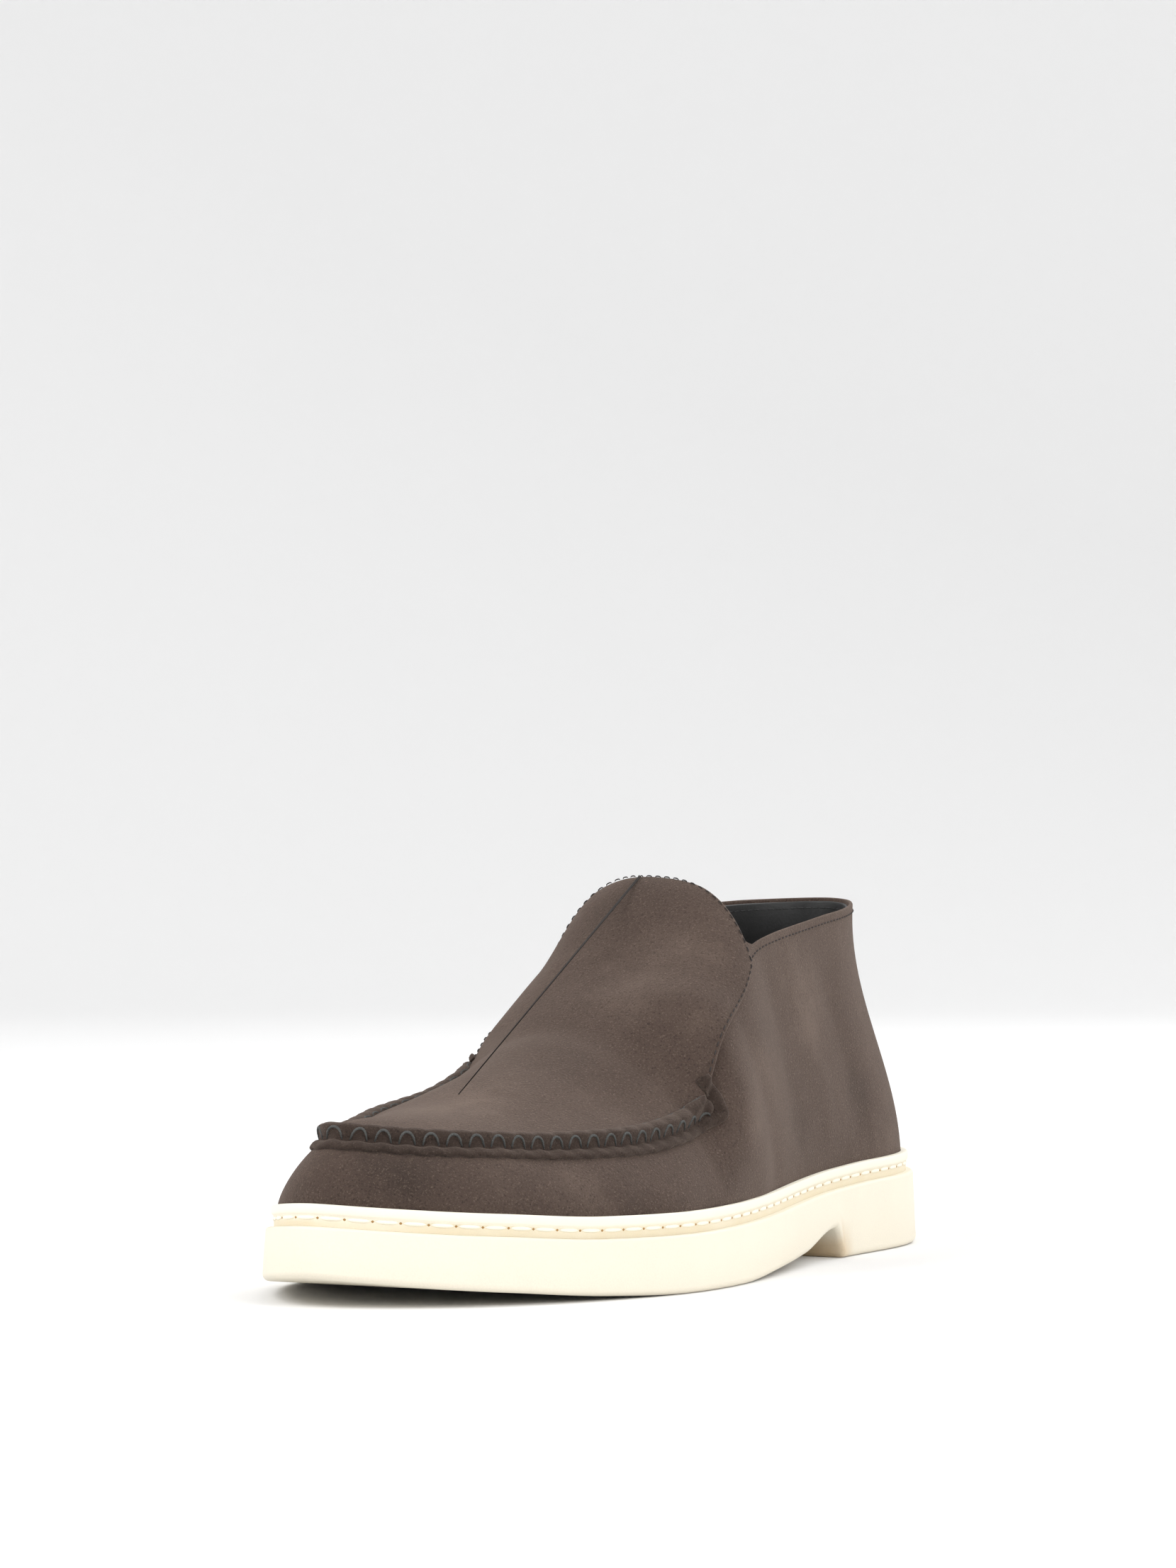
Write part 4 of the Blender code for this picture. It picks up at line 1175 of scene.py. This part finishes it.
def plate(name, angle, level, top, bottom, round_edge, inset):
    """A plate over the apron's grid, its outer edge rounded; the last row folds on itself at the toe."""
    fall = round_edge - np.sqrt(np.maximum(round_edge ** 2 - np.maximum(round_edge - inset, 0.0) ** 2, 0.0))
    outer = eased_crest(formed(angle, level, top - fall), level)
    inner = eased_crest(formed(angle, level, np.full(angle.shape, bottom)), level)
    rows, columns = angle.shape
    size = rows * columns
    faces = grid_faces(rows, columns) + grid_faces(rows, columns, size) + rim_faces(rows, columns, (0,))
    return welded(name, np.concatenate([outer.reshape(-1, 3), inner.reshape(-1, 3)]), faces)


def build_apron(finish, lining):
    """Apron and tongue in one suede plate, and the tongue's black lining under it."""
    angle, level, inset = apron_grid(210, 44)
    top = CLEARANCE + APRON_WALL
    mesh = plate("apron_tongue", angle, level, top, CLEARANCE + 0.0007, 0.0010, inset)
    brush_nap_and_paint_light(mesh)
    finish_piece("apron_tongue", mesh, brown_suede(finish), ["apron"])

    angle, level, inset = apron_grid(60, 20)
    keep = 46
    angle = angle[3:keep, 3:-3]
    level = level[3:keep, 3:-3]
    inset = inset[3:keep, 3:-3]
    mesh = plate("tongue_lining", angle, level, CLEARANCE + 0.00068, CLEARANCE - 0.0002, 0.0003, inset)
    finish_piece("tongue_lining", mesh, lining_leather(lining))


# Moccasin seam

def seam_drop(stations):
    """How far below the apron's edge the seam runs: nothing along the toe, more out to each tab."""
    share_value = angle_share(stations)
    lateral = stations < math.pi
    end = np.where(lateral, SEAM_END_LATERAL, SEAM_END_MEDIAL)
    tab = np.where(lateral, TAB_UP_LATERAL, TAB_UP_MEDIAL) * TOE_BOX_HEIGHT
    leaves = share_angle(SEAM_LEAVES_EDGE)
    start = edge_up(np.where(lateral, leaves, 2.0 * math.pi - leaves))
    out = np.clip((SEAM_LEAVES_EDGE - share_value) / (SEAM_LEAVES_EDGE - end), 0.0, 1.0)
    level = level_at_height(stations, np.minimum(start + (tab - start) * out, edge_up(stations)))
    wall_speed = 3.0 * WALL_HANDLE * edge_up(stations)
    return np.where(out > 0.0, (1.0 - level) * wall_speed, 0.0)


class SeamLine:
    """The seam's groove: s runs along it from the lateral end, d across it towards the crest."""

    def __init__(self):
        past = 0.030
        first = float(share_angle(SEAM_END_LATERAL - past))
        last = 2.0 * math.pi - float(share_angle(SEAM_END_MEDIAL - past))
        self.stations = np.linspace(first, last, 900)
        self.drop = seam_drop(self.stations)
        path = skin(self.stations, level_from_edge(self.stations, -self.drop))
        run = np.concatenate([[0.0], np.cumsum(np.linalg.norm(np.diff(path, axis=0), axis=1))])
        start = float(share_angle(SEAM_END_LATERAL))
        stop = 2.0 * math.pi - float(share_angle(SEAM_END_MEDIAL))
        self.run = run - np.interp(start, self.stations, run)
        self.length = float(np.interp(stop, self.stations, self.run))

    def at(self, s, d, height):
        """Point over the vamp or, past its edge, over the apron, and the normal there."""
        s, d, height = np.broadcast_arrays(s, d, height)
        angle = np.interp(s, self.run, self.stations)
        lower = np.interp(s, self.run, self.drop)
        over_edge = (APRON_WALL + CLEARANCE) * smooth((d - lower + 0.9 * MM) / (1.5 * MM))
        level = level_from_edge(angle, d - lower)
        return formed(angle, level, height + over_edge), skin_normal(angle, level)

    def to_edge(self, s):
        """Distance across from the groove to the apron's edge."""
        return np.interp(s, self.run, self.drop)


def build_moc_seam(finish, seam):
    """Puffed roll, its lower lip with a margin around each end, and the threads that pull them together."""
    line = SeamLine()
    setback = 3.4 * MM
    roll_length = line.length - 2.0 * setback
    count = round((roll_length - 3.0 * MM) / seam.moc_pitch)
    pitch = (roll_length - 3.0 * MM) / count
    stitches = setback + 1.5 * MM + (np.arange(count) + 0.5) * pitch

    def pinch(s):
        off = (s - stitches[0]) / pitch
        off = np.abs(off - np.round(off)) * pitch
        return np.exp(-(off / (1.5 * MM)) ** 2)

    s = np.linspace(0.0, 1.0, 900)
    s = setback + roll_length * (s - 0.10 * np.sin(2.0 * math.pi * s) / (2.0 * math.pi))
    from_end = np.minimum(s - setback, line.length - setback - s)
    ease = np.sqrt(1.0 - (1.0 - np.clip(from_end / (2.6 * MM), 0.0, 1.0)) ** 2)
    turn = np.linspace(0.0, 2.0 * math.pi, 22, endpoint=False)
    tight = pinch(s)
    full = np.maximum(ease, 0.02)[:, None]
    tug = tight[:, None]
    across = np.cos(turn)[None, :]
    half = (2.45 + 0.12 * (1.0 - tug)) * MM * full
    d = 2.15 * MM + half * across + 0.32 * MM * tug * np.clip(-across, 0.0, 1.0) * full
    dome = np.abs(np.sin(turn))[None, :] ** 0.8
    over = (SEAM_HEIGHT + 0.00005 - 0.00022 * tug) * dome * (1.0 - 0.18 * across) * full
    height = np.where(np.sin(turn)[None, :] > 0.0, over, -0.0005 * dome * full)
    points = line.at(s[:, None], d, height)[0]
    faces = grid_faces(len(s), len(turn), close_columns=True)
    faces += [list(range(len(turn)))[::-1], [(len(s) - 1) * len(turn) + k for k in range(len(turn))]]
    mesh = welded("moc_roll", points, faces)
    brush_nap_and_paint_light(mesh)
    finish_piece("moc_roll", mesh, shaded_seam_suede(finish), ["moc_seam"])
    build_moc_lip(line, finish, stitches, pitch, setback)

    t = np.linspace(-1.0, 1.0, 11)
    arch = (1.0 - t ** 2) ** 0.6
    reach = 0.34 * pitch
    outer_paths, outer_normals = line.at(stitches[:, None] + t * reach, (-0.62 + 1.00 * arch) * MM,
                                         (0.55 + 0.95 * arch) * MM)
    inner_paths, inner_normals = line.at(stitches[:, None] + t * reach, (4.75 - 0.55 * arch) * MM,
                                         (0.02 + 0.75 * arch) * MM)
    radii = seam.moc_thread * (1.0 - 0.35 * t ** 6)
    parts = [threads(outer_paths, outer_normals, radii), threads(inner_paths, inner_normals, 0.85 * radii)]
    thread_piece("moc_stitches", parts, charcoal_thread(seam))


def charcoal_thread(seam):
    """The charcoal sewing thread."""
    return material_of("charcoal thread", thread_material, seam.thread)


def build_moc_lip(line, finish, stitches, pitch, setback):
    """Lip under the roll: it wraps around each end of the roll and runs up into the tongue's edge."""
    lip = 3.75 * MM
    corner = 2.6 * MM
    inner_d = 0.6 * MM
    top_first = float(line.to_edge(0.0)) + 0.4 * MM
    top_last = float(line.to_edge(line.length)) + 0.4 * MM

    def end_part(height):
        """Outer and inner points up one end, from the top down, as if that end were at s = 0."""
        up = np.linspace(height, corner - lip, 26)
        share = (height - up) / (height - corner + lip)
        outer_s = 0.9 * MM * (1.0 - smooth(share * 1.6))
        turn = np.linspace(0.0, 0.5 * math.pi, 10)[1:]
        outer = [np.concatenate([outer_s, corner * (1.0 - np.cos(turn))]),
                 np.concatenate([up, corner - lip - corner * np.sin(turn)])]
        inner = [np.full(len(up) + len(turn), setback + 0.9 * MM),
                 np.concatenate([np.maximum(up, inner_d), np.full(len(turn), inner_d)])]
        return np.array(outer), np.array(inner)

    outer_a, inner_a = end_part(top_first)
    outer_b, inner_b = end_part(top_last)
    outer_b[0] = line.length - outer_b[0]
    inner_b[0] = line.length - inner_b[0]
    start = setback + 0.9 * MM
    middle = np.linspace(start, line.length - start, 860)
    wave = 0.16 * MM * np.cos(2.0 * math.pi * (middle - stitches[0]) / pitch)
    run_outer = np.array([middle, -lip + wave])
    run_inner = np.array([middle, np.full(len(middle), inner_d)])
    gap = np.linspace(outer_a[0, -1], start, 6)[1:-1]
    gap_outer = np.array([gap, np.full(len(gap), -lip)])
    gap_inner = np.array([np.full(len(gap), start), np.full(len(gap), inner_d)])
    mirror_outer = np.array([line.length - gap[::-1], gap_outer[1]])
    mirror_inner = np.array([line.length - gap_inner[0], gap_inner[1]])
    outer = np.concatenate([outer_a, gap_outer, run_outer, mirror_outer, outer_b[:, ::-1]], axis=1)
    inner = np.concatenate([inner_a, gap_inner, run_inner, mirror_inner, inner_b[:, ::-1]], axis=1)

    reach = np.array([0.25, 0.03, 0.0, 0.08, 0.30, 0.65, 1.2, 1.9, 2.5, 3.0, 3.6, 4.3, 4.3, 2.0]) * MM
    height = np.array([0.02, 0.05, 0.45, 0.85, 1.13, 1.28, 1.36, 1.26, 0.95, 0.66, 0.52, 0.5, -0.1, -0.05])
    height = height * MM
    width = np.linalg.norm(outer - inner, axis=0)[:, None]
    share = np.clip(reach[None, :] / np.maximum(width, 1e-6), 0.0, 1.0)
    s = outer[0][:, None] + (inner[0] - outer[0])[:, None] * share
    d = outer[1][:, None] + (inner[1] - outer[1])[:, None] * share
    puff = 1.0 + 0.10 * np.cos(2.0 * math.pi * (s[:, :1] - stitches[0]) / pitch)
    points = line.at(s, d, height[None, :] * puff)[0]
    rows, columns = s.shape
    faces = grid_faces(rows, columns, close_columns=True)
    faces += [list(range(columns))[::-1], [(rows - 1) * columns + k for k in range(columns)]]
    mesh = welded("moc_lip", points, faces)
    brush_nap_and_paint_light(mesh)
    finish_piece("moc_lip", mesh, shaded_seam_suede(finish))


# Heel stay and sewn rows

def stay_half_angle():
    """Ring angle at which the stay's side stands."""
    near = np.linspace(0.0, 0.25 * math.pi, 80)
    return float(np.interp(STAY_HALF_WIDTH, outline(near)[:, 0], near))


def stay_top(reach):
    """Height of the stay's rounded top over its foot."""
    return STAY_HEIGHT * (0.80 + 0.20 * np.sqrt(np.maximum(1.0 - 0.98 * reach ** 2, 0.0)))


def build_heel_stay(finish):
    """Suede patch up the back of the heel, its edge skived and pressed flat."""
    columns, rows = 61, 70
    reach = np.sin(np.linspace(-0.5 * math.pi, 0.5 * math.pi, columns))
    angle = reach * stay_half_angle()
    foot = 0.0045
    share = 1.0 - (1.0 - np.linspace(0.0, 1.0, rows)) ** 1.5
    rise = stay_top(reach) - foot
    level = np.array([level_at_height(angle % (2.0 * math.pi), foot + rise * value) for value in share])
    angle = np.broadcast_to(angle, level.shape)
    side = np.minimum(1.0 - np.abs(reach)[None, :], 1.0) * STAY_HALF_WIDTH
    up = (1.0 - share)[:, None] * STAY_HEIGHT
    thick = STAY_THICKNESS * smooth((np.minimum(side, up) + 0.0003) / 0.0014)
    outer = formed(angle, level, thick + 0.00005)
    inner = formed(angle, level, np.full(angle.shape, -0.0003))
    size = rows * columns
    faces = grid_faces(rows, columns) + grid_faces(rows, columns, size)
    faces += rim_faces(rows, columns, (0, rows - 1))
    mesh = welded("heel_stay_patch", np.concatenate([outer.reshape(-1, 3), inner.reshape(-1, 3)]), faces)
    brush_nap_and_paint_light(mesh)
    finish_piece("heel_stay_patch", mesh, brown_suede(finish),
                 ["heel_stay"])


def build_sewn_rows(seam):
    """Rows of stitches at the collar, the tongue's edge and the heel stay."""
    thread = material_of("brown thread", thread_material, seam.suede_thread)
    black = material_of("black thread", thread_material, seam.lining_thread)
    size = seam.thread_size
    limit = float(share_angle(0.455))
    angles = np.linspace(-limit, limit, 500)
    collar = Trail(angles, level_from_edge(angles, -1.7 * MM))
    parts = [stitch_row(collar, seam.sewn_pitch, 0.62, size, 0.00002)]
    thread_piece("collar_stitches", parts, thread)
    parts = [stitch_row(Trail(angles, level_from_edge(angles, -2.6 * MM)), seam.sewn_pitch, 0.66, size,
                        -UPPER_WALL - 0.0001)]
    thread_piece("lining_stitches", parts, black)

    share = np.linspace(0.590, TONGUE_TOP + EAR_CUT + 0.006, 160)
    side_angle = share_angle(share)
    inset = 1.25 * MM
    side_level = level_from_edge(side_angle, inset)
    over_level = np.linspace(float(side_level[-1]), 2.0, 160)[1:]
    over_angle = share_angle(tongue_end(over_level) + inset / SOLE_LENGTH * 0.9)
    angle = np.concatenate([side_angle, over_angle])
    level = np.concatenate([side_level, over_level])
    angle = np.concatenate([angle, 2.0 * math.pi - angle[-2::-1]])
    level = np.concatenate([level, level[-2::-1]])
    edge = Trail(angle, level)
    parts = [stitch_row(edge, seam.sewn_pitch, 0.62, size, APRON_WALL + CLEARANCE + 0.00003)]
    thread_piece("tongue_stitches", parts, thread)

    half = stay_half_angle()
    turn = np.linspace(-1.0, 1.0, 240)
    reach = np.clip(turn * 1.6, -1.0, 1.0) * 0.84
    rise = np.clip((1.0 - np.abs(turn)) / (1.0 - 1.0 / 1.6), 0.0, 1.0)
    height = 0.0065 + (stay_top(reach) - 0.0065 - 0.0022) * rise
    angle = reach * half
    stay = Trail(angle, level_at_height(angle % (2.0 * math.pi), height))
    parts = [stitch_row(stay, seam.sewn_pitch, 0.6, size, STAY_THICKNESS + 0.00004)]
    thread_piece("stay_stitches", parts, thread)


# Stage

PHOTO_WIDTH = 1659.0
PHOTO_HEIGHT = 2212.0
SENSOR = 36.0


def aim_camera(studio):
    """Camera at the photo's angle to the shoe: turned so that the photo's middle is its axis."""
    azimuth = math.radians(studio.camera_azimuth)
    elevation = math.radians(studio.camera_elevation)
    back = Vector((math.sin(azimuth) * math.cos(elevation), -math.cos(azimuth) * math.cos(elevation),
                   math.sin(elevation)))
    right = Vector((math.cos(azimuth), math.sin(azimuth), 0.0))
    up = back.cross(right)
    focal = studio.focal_pixels
    offset = Vector((0.5 * PHOTO_WIDTH - studio.axis_x, studio.axis_y - 0.5 * PHOTO_HEIGHT)) / focal
    aim = (-back + right * offset.x + up * offset.y).normalized()
    side = aim.cross(up).normalized()
    data = bpy.data.cameras.new("photo_camera")
    data.lens = focal * SENSOR / PHOTO_HEIGHT / math.sqrt(1.0 + offset.length_squared)
    data.sensor_width = SENSOR
    camera = bpy.data.objects.new("photo_camera", data)
    bpy.context.scene.collection.objects.link(camera)
    top = side.cross(aim)
    turn = Matrix((side, top, -aim)).transposed()
    stand = Vector((0.0, 0.0, 0.06)) + back * studio.camera_distance
    camera.matrix_world = Matrix.Translation(stand) @ turn.to_4x4()
    bpy.context.scene.camera = camera


def soft_light(name, position, size, watts, colour=(1.0, 1.0, 1.0)):
    """A large square lamp that looks at the shoe."""
    data = bpy.data.lights.new(name, "AREA")
    data.size = size
    data.energy = watts
    data.color = colour
    lamp = bpy.data.objects.new(name, data)
    bpy.context.scene.collection.objects.link(lamp)
    lamp.location = position
    lamp.rotation_mode = "QUATERNION"
    lamp.rotation_quaternion = (Vector((0.0, 0.0, 0.05)) - Vector(position)).to_track_quat("-Z", "Y")


def build_stage(studio):
    """Pale floor that curves up into a wall all around, soft lamps and the camera."""
    turn = np.linspace(0.0, 2.0 * math.pi, 96, endpoint=False)
    rings = [(0.0001, 0.0), (0.5, 0.0), (1.2, 0.0), (2.2, 0.0)]
    bend = np.linspace(0.0, 0.5 * math.pi, 14)[1:]
    rings += [(2.2 + 1.2 * math.sin(b), 1.2 * (1.0 - math.cos(b))) for b in bend] + [(3.4, 3.4)]
    points = np.array([[(r * math.cos(a), r * math.sin(a), z) for a in turn] for r, z in rings])
    mesh = bpy.data.meshes.new("studio_floor")
    faces = grid_faces(len(rings), len(turn), close_columns=True)
    mesh.from_pydata(points.reshape(-1, 3).tolist(), [], faces)
    material, _, shader = new_material("studio paper")
    shader.inputs["Base Color"].default_value = opaque(studio.paper)
    shader.inputs["Roughness"].default_value = 0.9
    shader.inputs["Specular IOR Level"].default_value = 0.1
    mesh.materials.append(material)
    mesh.shade_smooth()
    floor = bpy.data.objects.new("studio_floor", mesh)
    bpy.context.scene.collection.objects.link(floor)
    world = bpy.data.worlds.new("studio")
    world.use_nodes = True
    world.node_tree.nodes["Background"].inputs["Color"].default_value = (1.0, 1.0, 1.0, 1.0)
    world.node_tree.nodes["Background"].inputs["Strength"].default_value = studio.sky
    bpy.context.scene.world = world
    soft_light("key_lamp", (-0.9, -1.5, 1.7), 1.4, studio.key)
    soft_light("side_lamp", (1.7, -0.5, 1.1), 1.2, studio.side)
    soft_light("back_lamp", (0.3, 1.6, 1.5), 1.2, studio.back)
    bpy.context.scene.view_settings.view_transform = "Standard"
    bpy.context.scene.view_settings.exposure = 0.0
    aim_camera(studio)


# Settings

def size_setting(name, description, default, **more):
    """A length that a user may change."""
    return FloatProperty(name=name, description=description, default=default, min=0.0, precision=5,
                         subtype="DISTANCE", unit="LENGTH", **more)


def colour_setting(name, description, default):
    """A colour that a user may change."""
    return FloatVectorProperty(name=name, description=description, default=default, min=0.0, max=1.0,
                               size=3, subtype="COLOR")


class LoaferSole(bpy.types.PropertyGroup):
    """Sole, welt and its mock stitches"""

    tread_depth: size_setting("Tread depth", "Depth of the ripples under the sole", 0.0009)
    welt_pitch: size_setting("Welt pitch", "Length of one mock stitch and its gap", 0.0073)
    welt_phase: FloatProperty(name="Welt phase", description="Start of the first stitch, in pitches",
                              default=0.3)
    rubber: colour_setting("Rubber", "Sole block", (0.82, 0.76, 0.63))
    # Painted shade: the warm honey tint of the heel's breast and the arch
    gum: colour_setting("Gum", "Honey tint in the breast of the heel", (0.55, 0.36, 0.16))
    bead: colour_setting("Bead", "Rounded bead of the welt", (0.88, 0.83, 0.70))
    # Painted shade of the recessed band under the bead
    band: colour_setting("Band", "Recessed band of the welt", (0.76, 0.67, 0.49))
    stitch: colour_setting("Stitch", "Mock stitches", (0.90, 0.86, 0.74))
    # Painted shade of the holes between the mock stitches
    hole: colour_setting("Hole", "Holes between the mock stitches", (0.36, 0.20, 0.06))


class LoaferSuede(bpy.types.PropertyGroup):
    """Suede of the upper"""

    nap_grain: size_setting("Nap grain", "Size of one pebble of the nap", 0.00062)
    suede: colour_setting("Suede", "Middle colour", (0.060, 0.041, 0.033))
    light_hairs: colour_setting("Light hairs", "Fibres that catch the light", (0.165, 0.122, 0.098))
    dark_pores: colour_setting("Dark pores", "Gaps between the fibres", (0.017, 0.012, 0.010))


class LoaferLining(bpy.types.PropertyGroup):
    """Black lining and footbed"""

    leather: colour_setting("Leather", "Lining leather", (0.012, 0.012, 0.012))
    leather_worn: colour_setting("Worn leather", "Rubbed lining leather", (0.04, 0.04, 0.04))


class LoaferThreads(bpy.types.PropertyGroup):
    """Threads and their spacing"""

    moc_pitch: size_setting("Moccasin pitch", "Distance from stitch to stitch of the apron's seam", 0.0062)
    moc_thread: size_setting("Moccasin thread", "Radius of the heavy thread", 0.00036)
    sewn_pitch: size_setting("Sewn pitch", "Distance from stitch to stitch of the fine rows", 0.0027)
    thread_size: size_setting("Fine thread", "Radius of the fine thread", 0.00019)
    thread: colour_setting("Heavy thread", "Thread of the apron's seam", (0.055, 0.055, 0.052))
    suede_thread: colour_setting("Suede thread", "Thread of the fine rows", (0.022, 0.016, 0.014))
    lining_thread: colour_setting("Lining thread", "Thread of the lining", (0.03, 0.03, 0.03))


class LoaferStudio(bpy.types.PropertyGroup):
    """Floor, light and camera"""

    paper: colour_setting("Paper", "Floor and wall", (0.88, 0.88, 0.88))
    sky: FloatProperty(name="Sky", description="Strength of the even light", default=0.75)
    key: FloatProperty(name="Key", description="Watts of the lamp in front", default=30.0)
    side: FloatProperty(name="Side", description="Watts of the lamp beside the shoe", default=16.0)
    back: FloatProperty(name="Back", description="Watts of the lamp behind the shoe", default=16.0)
    camera_azimuth: FloatProperty(name="Azimuth", description="Degrees from the toe to the lateral side",
                                  default=29.2)
    camera_elevation: FloatProperty(name="Elevation", description="Degrees over the floor", default=2.4)
    camera_distance: size_setting("Distance", "Camera to the middle of the shoe", 1.453)
    focal_pixels: FloatProperty(name="Focal length", description="In pixels of the photo", default=7231.0)
    axis_x: FloatProperty(name="Axis x", description="Pixel where the level line of sight meets the photo",
                          default=878.0)
    axis_y: FloatProperty(name="Axis y", description="Pixel where the level line of sight meets the photo",
                          default=1491.0)


SETTINGS = {"sole": LoaferSole, "suede": LoaferSuede, "lining": LoaferLining, "threads": LoaferThreads,
            "studio": LoaferStudio}


class LoaferStageOperator(bpy.types.Operator):
    """Set up the floor, the lamps and the camera"""

    bl_idname = "loafer.stage"
    bl_label = "Stage"

    def execute(self, context):
        build_stage(context.scene.loafer_studio)
        return {"FINISHED"}


class LoaferSoleOperator(bpy.types.Operator):
    """Build the sole block"""

    bl_idname = "loafer.sole"
    bl_label = "Sole"

    def execute(self, context):
        build_outsole(context.scene.loafer_sole)
        return {"FINISHED"}


class LoaferWeltOperator(bpy.types.Operator):
    """Build the welt's band, bead, mock stitches and the painted shade of their holes"""

    bl_idname = "loafer.welt"
    bl_label = "Welt"

    def execute(self, context):
        build_welt(context.scene.loafer_sole)
        build_welt_stitches(context.scene.loafer_sole)
        return {"FINISHED"}


class LoaferInsoleOperator(bpy.types.Operator):
    """Build the footbed"""

    bl_idname = "loafer.insole"
    bl_label = "Insole"

    def execute(self, context):
        build_insole(context.scene.loafer_lining)
        return {"FINISHED"}


class LoaferUpperOperator(bpy.types.Operator):
    """Build the suede wall and its lining"""

    bl_idname = "loafer.upper"
    bl_label = "Upper"

    def execute(self, context):
        build_upper(context.scene.loafer_suede)
        build_lining(context.scene.loafer_lining)
        return {"FINISHED"}


class LoaferApronOperator(bpy.types.Operator):
    """Build the apron with its tall tongue"""

    bl_idname = "loafer.apron"
    bl_label = "Apron and tongue"

    def execute(self, context):
        build_apron(context.scene.loafer_suede, context.scene.loafer_lining)
        return {"FINISHED"}


class LoaferSeamOperator(bpy.types.Operator):
    """Build the moccasin seam"""

    bl_idname = "loafer.moc_seam"
    bl_label = "Moccasin seam"

    def execute(self, context):
        build_moc_seam(context.scene.loafer_suede, context.scene.loafer_threads)
        return {"FINISHED"}


class LoaferStayOperator(bpy.types.Operator):
    """Build the heel stay"""

    bl_idname = "loafer.heel_stay"
    bl_label = "Heel stay"

    def execute(self, context):
        build_heel_stay(context.scene.loafer_suede)
        return {"FINISHED"}


class LoaferRowsOperator(bpy.types.Operator):
    """Sew the fine rows of stitches"""

    bl_idname = "loafer.sewn_rows"
    bl_label = "Sewn rows"

    def execute(self, context):
        build_sewn_rows(context.scene.loafer_threads)
        return {"FINISHED"}


OPERATORS = (LoaferStageOperator, LoaferSoleOperator, LoaferWeltOperator, LoaferInsoleOperator,
             LoaferUpperOperator, LoaferApronOperator, LoaferSeamOperator, LoaferStayOperator,
             LoaferRowsOperator)


class LoaferPanel(bpy.types.Panel):
    """Pieces and settings of the loafer"""

    bl_idname = "VIEW3D_PT_loafer"
    bl_label = "Loafer"
    bl_space_type = "VIEW_3D"
    bl_region_type = "UI"
    bl_category = "Loafer"

    def draw(self, context):
        for operator in OPERATORS:
            self.layout.operator(operator.bl_idname)
        for key, group in SETTINGS.items():
            box = self.layout.box()
            box.label(text=group.__doc__)
            for name in group.__annotations__:
                box.prop(getattr(context.scene, "loafer_" + key), name)


def register():
    """Make the settings, operators and panel known."""
    for key, group in SETTINGS.items():
        bpy.utils.register_class(group)
        setattr(bpy.types.Scene, "loafer_" + key, PointerProperty(type=group))
    for made in (*OPERATORS, LoaferPanel):
        bpy.utils.register_class(made)


def unregister():
    """Take the settings, operators and panel away."""
    for made in (LoaferPanel, *reversed(OPERATORS)):
        bpy.utils.unregister_class(made)
    for key, group in SETTINGS.items():
        delattr(bpy.types.Scene, "loafer_" + key)
        bpy.utils.unregister_class(group)


def main():
    """Register the classes and build every piece."""
    register()
    bpy.ops.loafer.stage()
    bpy.ops.loafer.sole()
    bpy.ops.loafer.welt()
    bpy.ops.loafer.insole()
    bpy.ops.loafer.upper()
    bpy.ops.loafer.apron()
    bpy.ops.loafer.moc_seam()
    bpy.ops.loafer.heel_stay()
    bpy.ops.loafer.sewn_rows()


if __name__ == "__main__":
    main()
